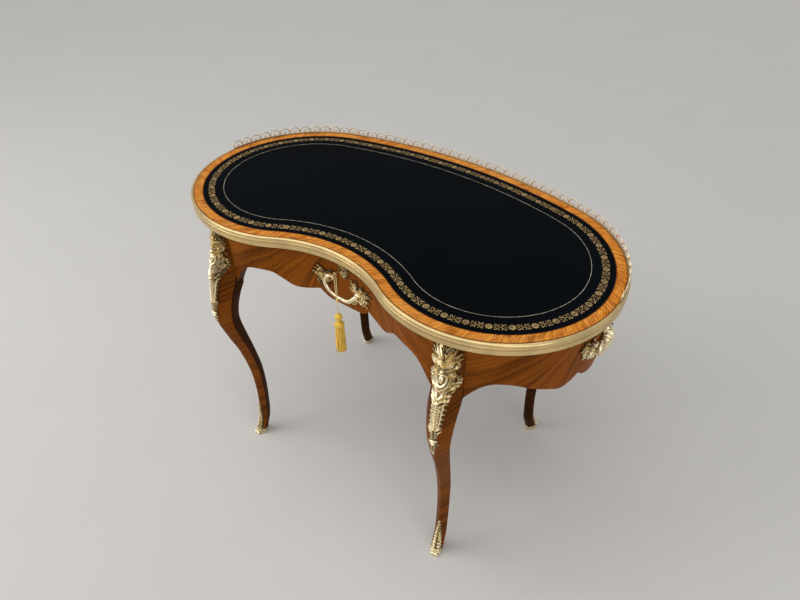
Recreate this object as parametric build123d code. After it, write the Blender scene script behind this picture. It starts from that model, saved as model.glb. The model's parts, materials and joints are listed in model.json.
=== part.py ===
from build123d import *
import os
from math import atan2, copysign, cos, pi, sin, sqrt

# Kidney shaped writing desk with a leather top, a drawer in the front hollow and four cabriole legs.
# Lengths are in millimetres. X runs to the right, Y to the back and Z up from the floor.
# The outline is drawn about the middle of the wooden top, and the finished pieces are moved back
# so that the origin lies on the floor under the middle of the whole desk.

os.makedirs("parts", exist_ok=True)

# Overall sizes
TABLE_HEIGHT = 765
TOP_LENGTH = 1086
TOP_DEPTH = 586
HOLLOW_DEPTH = 76
OVERRUN = 20
FIT_GAP = 0.3

# Curves of the outline, as shares of the depth or of the smallest arcs that still meet
END_ROUND_SHARE = 0.447
BACK_FLATNESS_SHARE = 1.27
SHOULDER_ROUND_SHARE = 1.068
FENCE_STEPS = 12

# Top
BOARD_THICKNESS = 25.5
VENEER_THICKNESS = 1.5
LEATHER_THICKNESS = 1.3
CROSSBAND_WIDTH = 23

# Brass edge moulding, its pins and the gallery
MOULDING_HEIGHT = 25
MOULDING_LEDGE = 7
MOULDING_LOWER_LEDGE = 6.2
MOULDING_GROOVE_LEDGE = 4.6
MOULDING_UPPER_BAND = 12
MOULDING_GROOVE = 2
MOULDING_ROUNDING = 3.2
PIN_COUNT = 18
PIN_RADIUS = 1
PIN_HEAD_RADIUS = 2
PIN_LENGTH = 14
PIN_HOLE_GAP = 0.1
GALLERY_HEIGHT = 19.5
GALLERY_THICKNESS = 1.8
GALLERY_LEDGE = 0.6
GALLERY_PITCH = 28
GALLERY_HOLE_RADIUS = 7.5
GALLERY_NOTCH_RADIUS = 6
GALLERY_FOOT_RAIL = 3
GALLERY_END_SHARE = 0.506
STUD_COUNT = 9
STUD_RADIUS = 0.6
STUD_LENGTH = 9

# Aprons, with the shapes of their lower edges as shares of the run and of the depth
APRON_INSET = 20
APRON_THICKNESS = 20
APRON_DEPTH = 153
FRONT_CUSP_SHARE = 0.226
FRONT_LOBE_SHARES = ((0, 0.889), (0.3, 0.882), (0.7, 0.843), (1, 0.725))
FRONT_ARCH_SHARES = (
    (0, 0.725), (0.137, 0.784), (0.265, 0.778), (0.393, 0.634), (0.486, 0.556), (0.677, 0.549),
    (0.827, 0.641), (0.891, 0.765), (0.947, 0.876), (1, 0.98))
END_CUSP_SHARE = 0.401
END_LOBE_SHARES = ((0, 0.993), (0.4, 0.96), (0.75, 0.9), (1, 0.81))
END_ARCH_SHARES = (
    (0, 0.98), (0.05, 0.889), (0.12, 0.758), (0.2, 0.673), (0.274, 0.654), (0.394, 0.68),
    (0.516, 0.758), (0.708, 0.869), (0.808, 0.922), (0.913, 0.882), (1, 0.81))

# Legs: sections from the floor up, as height share, then arris, half width, side, inner face and its half width
FRONT_LEG_SHARE = 0.2414
BACK_LEG_SHARE = 0.7656
KNEE_SWELL = 40
LEG_BLOCK_HALF = 38
LEG_BLOCK_DEPTH = 36
LEG_BLOCK_DROP_SHARE = 0.98
LEG_STEPS = 36
LEG_SECTION_SHARES = (
    (0, 0.1, 0.375, -0.3, -0.8, 0.17), (0.02, -0.03, 0.4, -0.42, -0.87, 0.18),
    (0.078, -0.4, 0.4, -0.8, -1.2, 0.18), (0.166, -0.55, 0.4, -0.95, -1.35, 0.18),
    (0.252, -0.575, 0.41, -0.985, -1.4, 0.19), (0.352, -0.425, 0.45, -0.875, -1.325, 0.2),
    (0.463, 0, 0.5, -0.5, -1, 0.23), (0.543, 0.48, 0.575, -0.1, -0.7, 0.28),
    (0.628, 0.925, 0.675, 0.25, -0.425, 0.37), (0.684, 1, 0.75, 0.22, -0.5, 0.48),
    (0.737, 0.95, 0.825, 0.03, -0.75, 0.62), (0.77, 0.87, 0.86, -0.2, -0.97, 0.72),
    (0.799, 0.775, 0.86, -0.42, -1.08, 0.77), (0.832, 0.625, 0.85, -0.6, -1.18, 0.76),
    (0.88, 0.35, 0.84, -0.65, -1.22, 0.75), (1, -0.15, 0.84, -0.65, -1.22, 0.75))

# Knee mounts: height share, reach across the leg's face and relief on the arris
MOUNT_RELIEF = 9
MOUNT_EDGE_THICKNESS = 3
MOUNT_SINK = 3
KNEE_MOUNT_SHARES = (
    (0.608, 0.12, 0.3), (0.64, 0.35, 0.55), (0.684, 0.55, 0.8), (0.737, 0.75, 0.9), (0.79, 0.9, 0.8),
    (0.84, 0.78, 0.8), (0.885, 0.93, 0.9), (0.94, 0.8, 0.8), (0.99, 0.4, 0.4))

# Sabots, the gilt shoes
SABOT_SOLE = 5
SABOT_WALL = 2.5
SABOT_TONGUE_HEIGHT = 125
SABOT_HEEL_HEIGHT = 14
SABOT_TOE_RADIUS = 7
SABOT_TOE_WIDTH = 15
SABOT_TOE_REACH = 2

# Drawer and what carries it
DRAWER_HALF_WIDTH = 175
DRAWER_GAP = 1
DRAWER_SIDE_THICKNESS = 12
DRAWER_SIDE_HEIGHT = 60
DRAWER_BOTTOM_THICKNESS = 6
DRAWER_BOTTOM_RISE = 13
DRAWER_GROOVE = 4
DRAWER_BACK_END = 190
DRAWER_HEAD_ROOM = 10
RUNNER_THICKNESS = 9
GUIDE_THICKNESS = 14
STOP_LENGTH = 14
STOP_HEIGHT = 22

# Blocks and screws that hold the top
CORNER_BLOCK_HALF = 24
CORNER_BLOCK_DEPTH = 22
CORNER_BLOCK_HEIGHT = 40
SCREW_RADIUS = 2
SCREW_HEAD_RADIUS = 4.2
SCREW_HEAD_HEIGHT = 2.4
TOP_SCREW_BITE = 14
SCREW_HOLE_GAP = 0.2
LOCK_SCREW_RADIUS = 1

# Cast handles: leaves, bow and screws
HANDLE_DROP = 73
END_HANDLE_DROP = 70
HANDLE_STANDOFF = 22
END_HANDLE_STANDOFF = 17
HANDLE_BOW_RADIUS = 5.5
HANDLE_POST_HALF = 42
HANDLE_BEND_HALF = 28
HANDLE_POST_RISE = 11
HANDLE_BEND_DROP = 19
HANDLE_BOW_DROP = 25
END_BEND_DROP = 8
END_BOW_DROP = 12
HANDLE_POST_ROUNDING = 7
HANDLE_BEND_ROUNDING = 15
HANDLE_BOW_ROUNDING = 50
LEAF_THICKNESS = 5
LEAF_REACH = 44
LEAF_HALF_HEIGHT = 31
LEAF_OUTLINE_SHARES = (
    (-0.45, 0), (-0.35, 0.6), (0.05, 0.65), (0.2, 0.95), (0.45, 0.5), (0.9, 0.75), (0.75, 0.25),
    (1, 0), (0.7, -0.25), (0.8, -0.8), (0.4, -0.45), (0.1, -0.9), (-0.05, -0.3), (-0.3, -0.35))
HANDLE_SCREW_LENGTH = 12

# Lock, key and escutcheon
KEY_DROP = 26
KEY_SHANK_RADIUS = 2.4
KEY_NECK_RADIUS = 2
KEY_COLLAR_RADIUS = 3.8
KEY_COLLAR_LENGTH = 2.5
KEY_BIT_REACH = 9
KEY_BIT_THICKNESS = 2.6
KEY_BIT_LENGTH = 3.2
KEY_BOW_RADIUS = 8.5
KEY_BOW_WIRE = 1.5
KEY_BORE_DEPTH = 7
KEYHOLE_GAP = 0.6
DRILL_PIN_RADIUS = 1.2
DRILL_PIN_GAP = 0.05
LOCK_HALF_WIDTH = 25
LOCK_HEIGHT = 44
LOCK_DEPTH = 10
LOCK_WALL = 1.2
LOCK_SCREW_PLACE = 20
LOCK_SCREW_LENGTH = 5
BOLT_HALF_WIDTH = 7
BOLT_THICKNESS = 3
BOLT_TRAVEL = 8
BOLT_TAIL_DROP = 12
KEEP_THICKNESS = 1.5
KEEP_MARGIN = 9
ESCUTCHEON_THICKNESS = 3
ESCUTCHEON_HALF_WIDTH = 13
ESCUTCHEON_TOP = 22
ESCUTCHEON_FOOT = 28
ESCUTCHEON_OUTLINE_SHARES = (
    (0, 1), (0.35, 0.75), (0.8, 0.85), (0.7, 0.4), (1, 0), (0.75, -0.3), (0.7, -0.7), (0, -1))

# Tassel
CORD_RADIUS = 1.1
LOOP_FOOT_HALF = 1.35
LOOP_DROP = 70
KNOT_HEIGHT = 5
KNOT_RADIUS = 2.9
STRAND_LENGTH = 36
HEAD_RADIUS = 9
HEAD_NECK_RADIUS = 4.5
HEAD_NECK_HEIGHT = 7
RUFF_RADIUS = 12
RUFF_HEIGHT = 15
SKIRT_TOP_RADIUS = 11
SKIRT_RADIUS = 14
SKIRT_HEIGHT = 71
SKIRT_FLUTES = 16
FLUTE_DEPTH = 1
TASSEL_AHEAD = 3

# Levels that follow
UNDERSIDE = TABLE_HEIGHT - VENEER_THICKNESS - BOARD_THICKNESS
BOARD_TOP = TABLE_HEIGHT - VENEER_THICKNESS
MOULDING_FOOT = TABLE_HEIGHT - MOULDING_HEIGHT
APRON_FOOT = UNDERSIDE - APRON_DEPTH
APRON_BACK = APRON_INSET + APRON_THICKNESS
LEG_SPAN = UNDERSIDE - SABOT_SOLE
DRAWER_TOP = UNDERSIDE - DRAWER_HEAD_ROOM
DRAWER_FOOT = DRAWER_TOP - DRAWER_SIDE_HEIGHT
KEY_HEIGHT = UNDERSIDE - KEY_DROP
HANDLE_HEIGHT = UNDERSIDE - HANDLE_DROP
END_HANDLE_HEIGHT = UNDERSIDE - END_HANDLE_DROP
KNOT_TOP = KEY_HEIGHT - LOOP_DROP
TASSEL_TOP = KNOT_TOP - KNOT_HEIGHT - STRAND_LENGTH

# Arcs of the right half of the outline, from the front middle to the back middle
HALF_LENGTH = TOP_LENGTH / 2
HALF_DEPTH = TOP_DEPTH / 2
END_RADIUS = END_ROUND_SHARE * TOP_DEPTH
END_CENTRE = Vector(HALF_LENGTH - END_RADIUS, END_RADIUS - HALF_DEPTH)
END_TO_BACK = HALF_DEPTH - END_CENTRE.Y
LEAST_BACK_RADIUS = (END_CENTRE.X**2 + END_TO_BACK**2 - END_RADIUS**2) / (2 * (END_TO_BACK - END_RADIUS))
BACK_RADIUS = BACK_FLATNESS_SHARE * LEAST_BACK_RADIUS
BACK_CENTRE = Vector(0, HALF_DEPTH - BACK_RADIUS)
CENTRES_APART = (END_CENTRE - BACK_CENTRE).length
SHOULDER_RADIUS = SHOULDER_ROUND_SHARE * (BACK_RADIUS + END_RADIUS - CENTRES_APART) / 2
BACK_TO_SHOULDER = BACK_RADIUS - SHOULDER_RADIUS
SHOULDER_TO_END = SHOULDER_RADIUS - END_RADIUS
ALONG = (CENTRES_APART**2 + BACK_TO_SHOULDER**2 - SHOULDER_TO_END**2) / (2 * CENTRES_APART)
ASIDE = sqrt(BACK_TO_SHOULDER**2 - ALONG**2)
TOWARDS_END = (END_CENTRE - BACK_CENTRE).normalized()
SHOULDER_CENTRE = BACK_CENTRE + TOWARDS_END * ALONG + Vector(-TOWARDS_END.Y, TOWARDS_END.X) * ASIDE
HOLLOW_RISE = END_RADIUS - HOLLOW_DEPTH
HOLLOW_RADIUS = (END_CENTRE.X**2 + HOLLOW_RISE**2 - END_RADIUS**2) / (2 * HOLLOW_DEPTH)
HOLLOW_CENTRE = Vector(0, HOLLOW_DEPTH - HALF_DEPTH - HOLLOW_RADIUS)


def bearing(start, stop):
    """Direction from one point to another, in radians."""
    return atan2(stop.Y - start.Y, stop.X - start.X)


HOLLOW_STOP = bearing(HOLLOW_CENTRE, END_CENTRE)
END_STOP = bearing(SHOULDER_CENTRE, END_CENTRE)
SHOULDER_STOP = bearing(BACK_CENTRE, SHOULDER_CENTRE)
ARCS = (
    (HOLLOW_CENTRE, HOLLOW_RADIUS, pi / 2, HOLLOW_STOP, -1),
    (END_CENTRE, END_RADIUS, HOLLOW_STOP - pi, END_STOP, 1),
    (SHOULDER_CENTRE, SHOULDER_RADIUS, END_STOP, SHOULDER_STOP, 1),
    (BACK_CENTRE, BACK_RADIUS, SHOULDER_STOP, pi / 2, 1),
)
ARC_LENGTHS = [radius * abs(stop - start) for _, radius, start, stop, _ in ARCS]
HALF_EDGE = sum(ARC_LENGTHS)
FRONT_LEG_RUN = FRONT_LEG_SHARE * HALF_EDGE
BACK_LEG_RUN = BACK_LEG_SHARE * HALF_EDGE


def edge_frame(run):
    """Point of the wooden edge and its outward direction, at a run from the front middle."""
    if abs(run) > HALF_EDGE:
        run -= copysign(2 * HALF_EDGE, run)
    left = abs(run)
    index = 0
    while index < len(ARCS) - 1 and left > ARC_LENGTHS[index]:
        left -= ARC_LENGTHS[index]
        index += 1
    centre, radius, start, stop, side = ARCS[index]
    turn = start + (stop - start) * left / ARC_LENGTHS[index]
    direction = Vector(cos(turn), sin(turn))
    point = centre + direction * radius
    outward = direction * side
    if run < 0:
        point = Vector(-point.X, point.Y)
        outward = Vector(-outward.X, outward.Y)
    return point, outward


def edge_point(run, inset, height):
    """Point at a run along the edge, drawn in by the inset, at a height."""
    point, outward = edge_frame(run)
    place = point - outward * inset
    return Vector(place.X, place.Y, height)


def prism(points, height):
    """Upright solid on a polygon."""
    return extrude(Face(Wire.make_polygon(points, close=True)), amount=height, dir=(0, 0, 1))


def kidney(inset, low, high):
    """Upright solid inside the outline, drawn in by the inset."""
    joins = [sum(ARC_LENGTHS[:count]) for count in (1, 2, 3)]
    end_middle = (joins[0] + joins[1]) / 2
    shoulder_middle = (joins[1] + joins[2]) / 2
    runs = (
        (-joins[0], 0, joins[0]), (joins[0], end_middle, joins[1]), (joins[1], shoulder_middle, joins[2]),
        (joins[2], HALF_EDGE, -joins[2]), (-joins[2], -shoulder_middle, -joins[1]),
        (-joins[1], -end_middle, -joins[0]))
    arcs = [ThreePointArc(*[edge_point(run, inset, low) for run in span]) for span in runs]
    return extrude(Face(Wire(arcs)), amount=high - low, dir=(0, 0, 1))


def ring(outer, inner, low, high):
    """Band between two insets of the outline."""
    return kidney(outer, low, high) - kidney(inner, low, high)


def fence(start, stop, outer, inner, low, high):
    """Upright solid that stands over the edge between two runs."""
    runs = [start + (stop - start) * step / FENCE_STEPS for step in range(FENCE_STEPS + 1)]
    points = [edge_point(run, outer, low) for run in runs]
    points += [edge_point(run, inner, low) for run in reversed(runs)]
    return prism(points, high - low)


def stretch(start, stop, outer, inner, low, high):
    """Part of a band between two runs along the edge."""
    return ring(outer, inner, low, high) & fence(start, stop, outer - OVERRUN, inner + OVERRUN, low, high)


def wall_plane(run, inset, height):
    """Plane on the wall: x along the wall, y up and z outwards."""
    point, outward = edge_frame(run)
    along = Vector(-outward.Y, outward.X)
    return Plane(origin=edge_point(run, inset, height), x_dir=along, z_dir=outward)


def rod(plane, radius, start, stop):
    """Round bar along a plane's normal, between two distances from the plane."""
    bar = Cylinder(radius, stop - start, align=(Align.CENTER, Align.CENTER, Align.MIN))
    return plane * Pos(0, 0, start) * bar


def block(x_low, x_high, y_low, y_high, z_low, z_high):
    """Box between corners."""
    size = (x_high - x_low, y_high - y_low, z_high - z_low)
    return Pos(x_low, y_low, z_low) * Box(*size, align=(Align.MIN, Align.MIN, Align.MIN))


def under_cutter(start, stop, shares):
    """Solid below a shaped lower edge, whose places and drops are given as shares."""
    depth = APRON_BACK + OVERRUN
    curves = []
    for inset in (APRON_INSET - OVERRUN, depth):
        points = [edge_point(start + (stop - start) * along, inset, UNDERSIDE - drop * APRON_DEPTH)
                  for along, drop in shares]
        curves.append(Edge.make_spline(points))
    return extrude(Face.make_surface_from_curves(*curves), amount=APRON_DEPTH, dir=(0, 0, -1))


def mirrored_shares(shares):
    """Half a lobe's shape, from its middle to its end, made whole from end to end."""
    whole = [(-along, drop) for along, drop in reversed(shares[1:])] + list(shares)
    return [((1 + along) / 2, drop) for along, drop in whole]


def lobe_and_arches(middle, half, cusp, lobe, arch):
    """Cutters for a lower edge with a lobe in the middle and an arch on each side."""
    cutters = [under_cutter(middle - cusp * half, middle + cusp * half, mirrored_shares(lobe))]
    cutters += [under_cutter(middle + side * cusp * half, middle + side * half, arch) for side in (-1, 1)]
    return cutters


def front_cutters():
    """Lower edge of the front, across the drawer and both front aprons."""
    half = FRONT_LEG_RUN - LEG_BLOCK_HALF
    return lobe_and_arches(0, half, FRONT_CUSP_SHARE, FRONT_LOBE_SHARES, FRONT_ARCH_SHARES)


def back_cutters():
    """Lower edge of the back."""
    half = HALF_EDGE - BACK_LEG_RUN - LEG_BLOCK_HALF
    return lobe_and_arches(HALF_EDGE, half, FRONT_CUSP_SHARE, FRONT_LOBE_SHARES, FRONT_ARCH_SHARES)


def end_cutters(side):
    """Lower edge of one end."""
    middle = side * (FRONT_LEG_RUN + BACK_LEG_RUN) / 2
    half = (BACK_LEG_RUN - FRONT_LEG_RUN) / 2 - LEG_BLOCK_HALF
    arch = [(1 - along, drop) for along, drop in reversed(END_ARCH_SHARES)]
    return lobe_and_arches(middle, half, 1 - 2 * END_CUSP_SHARE, END_LOBE_SHARES, arch)


def apron(start, stop, cutters):
    """Apron wall between two runs, with its lower edge shaped."""
    wall = stretch(start, stop, APRON_INSET, APRON_BACK, APRON_FOOT, UNDERSIDE)
    return wall - cutters


# Places along the edge
LEG_RUNS = {
    "front_left": -FRONT_LEG_RUN,
    "front_right": FRONT_LEG_RUN,
    "back_left": -BACK_LEG_RUN,
    "back_right": BACK_LEG_RUN,
}
END_RUN = (FRONT_LEG_RUN + BACK_LEG_RUN) / 2
GALLERY_END_RUN = GALLERY_END_SHARE * HALF_EDGE
PIN_RUNS = [(2 * index + 1 - PIN_COUNT) * HALF_EDGE / PIN_COUNT for index in range(PIN_COUNT)]


def pin_planes():
    """Place of each moulding pin, on the face of the lower band."""
    lower_band = MOULDING_HEIGHT - MOULDING_UPPER_BAND - MOULDING_GROOVE
    height = MOULDING_FOOT + lower_band / 2
    return [wall_plane(run, -MOULDING_LOWER_LEDGE, height) for run in PIN_RUNS]


def edge_moulding():
    """Brass moulding: lower band, groove and rounded upper band, with the holes for its pins."""
    groove_foot = TABLE_HEIGHT - MOULDING_UPPER_BAND - MOULDING_GROOVE
    groove_top = TABLE_HEIGHT - MOULDING_UPPER_BAND
    upper = ring(-MOULDING_LEDGE, 0, groove_top, TABLE_HEIGHT)
    top_edges = upper.edges().filter_by(lambda edge: edge.center().Z > TABLE_HEIGHT - FIT_GAP)
    outer_edges = top_edges.sort_by(lambda edge: edge.length)
    outer_wire = upper.faces().sort_by(Axis.Z)[-1].outer_wire()
    upper = fillet([edge for edge in outer_edges if on_wire(edge, outer_wire)], MOULDING_ROUNDING)
    moulding = upper + ring(-MOULDING_GROOVE_LEDGE, 0, groove_foot, groove_top)
    moulding += ring(-MOULDING_LOWER_LEDGE, 0, MOULDING_FOOT, groove_foot)
    moulding -= [rod(plane, PIN_RADIUS + PIN_HOLE_GAP, -PIN_LENGTH, OVERRUN) for plane in pin_planes()]
    return moulding - stud_rods(0, PIN_HOLE_GAP)


def on_wire(edge, wire):
    """Whether an edge lies on a wire."""
    return any((edge @ 0.5 - other @ 0.5).length < FIT_GAP for other in wire.edges())


def moulding_pins():
    """Domed pins through the moulding's lower band into the board."""
    pins = []
    for plane in pin_planes():
        dome = plane * Sphere(PIN_HEAD_RADIUS)
        dome -= rod(plane, 2 * PIN_HEAD_RADIUS, -2 * PIN_HEAD_RADIUS, 0)
        pins.append(dome + rod(plane, PIN_RADIUS, -PIN_LENGTH, 0))
    return pins


def stud_rods(above, gap=0):
    """Studs that stand in the moulding and hold the gallery, or their holes with a gap round them."""
    first = GALLERY_END_RUN + GALLERY_PITCH / 2
    span = 2 * (HALF_EDGE - first)
    inset = -GALLERY_LEDGE - GALLERY_THICKNESS / 2
    studs = []
    for index in range(STUD_COUNT):
        place = edge_point(first + span * index / (STUD_COUNT - 1), inset, TABLE_HEIGHT - STUD_LENGTH)
        studs.append(rod(Plane(place), STUD_RADIUS + gap, 0, STUD_LENGTH + above))
    return studs


def gallery():
    """Pierced brass gallery round the back half: a foot rail and a row of round hoops."""
    outer = -GALLERY_LEDGE - GALLERY_THICKNESS
    top = TABLE_HEIGHT + GALLERY_HEIGHT
    stop = 2 * HALF_EDGE - GALLERY_END_RUN
    band = stretch(GALLERY_END_RUN, stop, outer, -GALLERY_LEDGE, TABLE_HEIGHT, top)
    hoops = round((stop - GALLERY_END_RUN) / GALLERY_PITCH)
    pitch = (stop - GALLERY_END_RUN) / hoops
    hole_height = TABLE_HEIGHT + GALLERY_FOOT_RAIL + GALLERY_HOLE_RADIUS
    cutters = []
    for index in range(hoops):
        run = GALLERY_END_RUN + pitch * (index + 1 / 2)
        plane = wall_plane(run, -GALLERY_LEDGE, hole_height)
        cutters.append(rod(plane, GALLERY_HOLE_RADIUS, -OVERRUN / 2, OVERRUN / 2))
        notch = wall_plane(run + pitch / 2, -GALLERY_LEDGE, top)
        cutters.append(rod(notch, GALLERY_NOTCH_RADIUS, -OVERRUN / 2, OVERRUN / 2))
    return band - cutters


def corner_block(run):
    """Glued block in the corner behind a leg, under the top."""
    outer = APRON_INSET + LEG_BLOCK_DEPTH
    low = UNDERSIDE - CORNER_BLOCK_HEIGHT
    return stretch(run - CORNER_BLOCK_HALF, run + CORNER_BLOCK_HALF, outer, outer + CORNER_BLOCK_DEPTH,
                   low, UNDERSIDE)


def top_screw_plane(run):
    """Foot of the screw that passes up through a corner block."""
    inset = APRON_INSET + LEG_BLOCK_DEPTH + CORNER_BLOCK_DEPTH / 2
    return Plane(edge_point(run, inset, UNDERSIDE - CORNER_BLOCK_HEIGHT))


def screw(plane, shank, radius=SCREW_RADIUS):
    """Screw whose head bears on the plane and whose shank runs along its normal."""
    head = rod(plane, SCREW_HEAD_RADIUS, -SCREW_HEAD_HEIGHT, 0)
    return head + rod(plane, radius, 0, shank)


def screw_hole(plane, depth):
    """Hole for a screw's shank."""
    return rod(plane, SCREW_RADIUS + SCREW_HOLE_GAP, -OVERRUN, depth)


def top_board():
    """Board under the veneer and the leather, with its screw holes and the keep's recess."""
    board = kidney(0, UNDERSIDE, BOARD_TOP)
    bite = CORNER_BLOCK_HEIGHT + TOP_SCREW_BITE + FIT_GAP
    board -= [screw_hole(top_screw_plane(run), bite) for run in LEG_RUNS.values()]
    board -= [rod(plane, PIN_RADIUS + PIN_HOLE_GAP, -PIN_LENGTH, OVERRUN) for plane in pin_planes()]
    return board - keep_plate(True) - keep_screws(PIN_HOLE_GAP)


# Lock places, behind the middle of the drawer front
FRONT_FACE_Y = edge_point(0, APRON_INSET, 0).Y
FRONT_BACK_Y = edge_point(0, APRON_BACK, 0).Y
DRAWER_FRONT_TOP = UNDERSIDE - DRAWER_GAP
LOCK_BACK_Y = FRONT_BACK_Y - LOCK_WALL
LOCK_FRONT_Y = LOCK_BACK_Y - LOCK_DEPTH
LOCK_FOOT = DRAWER_FRONT_TOP - LOCK_HEIGHT
BIT_FRONT_Y = LOCK_FRONT_Y + LOCK_WALL + FIT_GAP
BIT_BACK_Y = BIT_FRONT_Y + KEY_BIT_LENGTH
BOLT_FRONT_Y = BIT_BACK_Y + FIT_GAP
BOLT_BACK_Y = BOLT_FRONT_Y + BOLT_THICKNESS
ESCUTCHEON_FACE_Y = FRONT_FACE_Y - ESCUTCHEON_THICKNESS
BOW_CENTRE_Y = FRONT_FACE_Y - HANDLE_STANDOFF
TASSEL_Y = BOW_CENTRE_Y - HANDLE_BOW_RADIUS - TASSEL_AHEAD


def keep_plate(recess):
    """Brass keep let into the underside of the top, or the recess cut for it."""
    half = BOLT_HALF_WIDTH + KEEP_MARGIN
    front = BOLT_FRONT_Y - KEEP_MARGIN / 2
    back = BOLT_BACK_Y + KEEP_MARGIN / 2
    plate = block(-half, half, front, back, UNDERSIDE, UNDERSIDE + KEEP_THICKNESS)
    gap = 2 * FIT_GAP
    slot = block(-BOLT_HALF_WIDTH - gap, BOLT_HALF_WIDTH + gap, BOLT_FRONT_Y - gap, BOLT_BACK_Y + gap,
                 UNDERSIDE, UNDERSIDE + BOLT_TRAVEL + gap)
    return plate + slot if recess else plate - slot


def keep_screw_planes():
    """Two screws at the ends of the keep."""
    place = BOLT_HALF_WIDTH + KEEP_MARGIN / 2
    middle = (BOLT_FRONT_Y + BOLT_BACK_Y) / 2
    return [Plane((side * place, middle, UNDERSIDE)) for side in (-1, 1)]


def keep_screws(gap=0):
    """Screws that hold the keep, flush with its face, or their holes with a gap round them."""
    return [rod(plane, SCREW_RADIUS + gap, 0, TOP_SCREW_BITE) for plane in keep_screw_planes()]


def leg_frame(run):
    """Foot point, outward direction and direction along the edge."""
    point, outward = edge_frame(run)
    return point, outward, Vector(-outward.Y, outward.X)


def section_face(run, height, corners):
    """Flat section of a leg or mount from corners given as distance aside and distance out."""
    point, outward, along = leg_frame(run)
    places = [point + along * aside + outward * out for aside, out in corners]
    return Face(Wire.make_polygon([Vector(place.X, place.Y, height) for place in places], close=True))


def leg_height(share):
    """Height of a leg section."""
    return SABOT_SOLE + share * LEG_SPAN


def smooth_row(rows, share):
    """Values of a table at a share, on smooth curves through its rows."""
    index = 0
    while index < len(rows) - 2 and share > rows[index + 1][0]:
        index += 1
    lower, upper = rows[index], rows[index + 1]
    before = rows[max(index - 1, 0)]
    after = rows[min(index + 2, len(rows) - 1)]
    span = upper[0] - lower[0]
    mix = (share - lower[0]) / span
    values = []
    for column in range(1, len(lower)):
        start_slope = (upper[column] - before[column]) / (upper[0] - before[0])
        stop_slope = (after[column] - lower[column]) / (after[0] - lower[0])
        rise = upper[column] - lower[column]
        value = lower[column] + rise * mix**2 * (3 - 2 * mix)
        value += span * mix * (1 - mix) * (start_slope * (1 - mix) - stop_slope * mix)
        values.append(value)
    return values


def leg_sizes(share):
    """Arris, half width, side, inner face and its half width at a height share."""
    return [KNEE_SWELL * value for value in smooth_row(LEG_SECTION_SHARES, share)]


def leg_shares(low, high):
    """Height shares of the sections between two shares, with both of them."""
    steps = [step / LEG_STEPS for step in range(LEG_STEPS + 1)]
    near = 1 / (4 * LEG_STEPS)
    return [low] + [share for share in steps if low + near < share < high - near] + [high]


def leg_corners(share, grow=0):
    """Corners of a leg section, grown by a wall."""
    out, half, side, inner, heel = leg_sizes(share)
    half += grow
    heel += grow
    back = inner - grow
    tip = out + grow * sqrt(2)
    return [(-half, side), (0, tip), (half, side), (heel, back), (-heel, back)]


def leg(run):
    """Cabriole leg: smooth shaft and the square block that meets the aprons."""
    faces = [section_face(run, leg_height(share), leg_corners(share)) for share in leg_shares(0, 1)]
    head_foot = UNDERSIDE - LEG_BLOCK_DROP_SHARE * APRON_DEPTH
    head = stretch(run - LEG_BLOCK_HALF, run + LEG_BLOCK_HALF, APRON_INSET, APRON_INSET + LEG_BLOCK_DEPTH,
                   head_foot, UNDERSIDE)
    return loft(faces, ruled=True) + head


def mount_corners(share, reach, relief):
    """Corners of a knee mount: a V that lies on the two faces of the leg."""
    out, half, side, _, _ = leg_sizes(share)
    fall = side - out
    length = sqrt(half**2 + fall**2)
    across = Vector(-fall / length, half / length)
    wing = Vector(half, fall) * reach
    outer = wing + across * MOUNT_EDGE_THICKNESS
    inner = wing - across * MOUNT_SINK
    crest = out + relief * MOUNT_RELIEF
    hollow = out - MOUNT_SINK * length / half
    return [(-outer.X, out + outer.Y), (0, crest), (outer.X, out + outer.Y),
            (inner.X, out + inner.Y), (0, hollow), (-inner.X, out + inner.Y)]


def knee_mount(run, carrier):
    """Gilt mount on the knee, cut to lie on its leg."""
    shares = leg_shares(KNEE_MOUNT_SHARES[0][0], KNEE_MOUNT_SHARES[-1][0])
    faces = [section_face(run, leg_height(share), mount_corners(share, *smooth_row(KNEE_MOUNT_SHARES, share)))
             for share in shares]
    return loft(faces, ruled=True) - carrier


def sabot(run, carrier):
    """Gilt shoe: a low sleeve with a tongue up the arris and a rolled toe."""
    point, outward, along = leg_frame(run)
    up = Vector(0, 0, 1)
    tongue_share = (SABOT_TONGUE_HEIGHT - SABOT_SOLE) / LEG_SPAN
    heel_share = (SABOT_HEEL_HEIGHT - SABOT_SOLE) / LEG_SPAN
    faces = [section_face(run, 0, leg_corners(0, SABOT_WALL))]
    faces += [section_face(run, leg_height(share), leg_corners(share, SABOT_WALL))
              for share in leg_shares(0, tongue_share)]
    toe_plane = Plane(point + outward * SABOT_TOE_REACH + up * SABOT_TOE_RADIUS, z_dir=along)
    shoe = loft(faces, ruled=True)
    shoe += rod(toe_plane, SABOT_TOE_RADIUS, -SABOT_TOE_WIDTH / 2, SABOT_TOE_WIDTH / 2)
    front = leg_sizes(tongue_share)[0]
    back = leg_sizes(heel_share)[3]
    slope = (SABOT_TONGUE_HEIGHT - SABOT_HEEL_HEIGHT) / (front - back)
    reach = 2 * KNEE_SWELL
    low = (back - reach, SABOT_HEEL_HEIGHT - slope * reach)
    high = (front + reach, SABOT_TONGUE_HEIGHT + slope * reach)
    places = [low, high, (low[0], high[1])]
    corners = [point + outward * out + up * height - along * KNEE_SWELL for out, height in places]
    cutter = extrude(Face(Wire.make_polygon(corners, close=True)), amount=2 * KNEE_SWELL, dir=tuple(along))
    return shoe - cutter - carrier


# Handles
def handle_screw_planes(run, height):
    """Heads of the two screws, behind the wall, with shanks pointing out into the handle's posts."""
    base = wall_plane(run, APRON_INSET, height)
    place = HANDLE_POST_HALF
    return [base * Pos(side * place, HANDLE_POST_RISE, -APRON_THICKNESS) for side in (-1, 1)]


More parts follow.
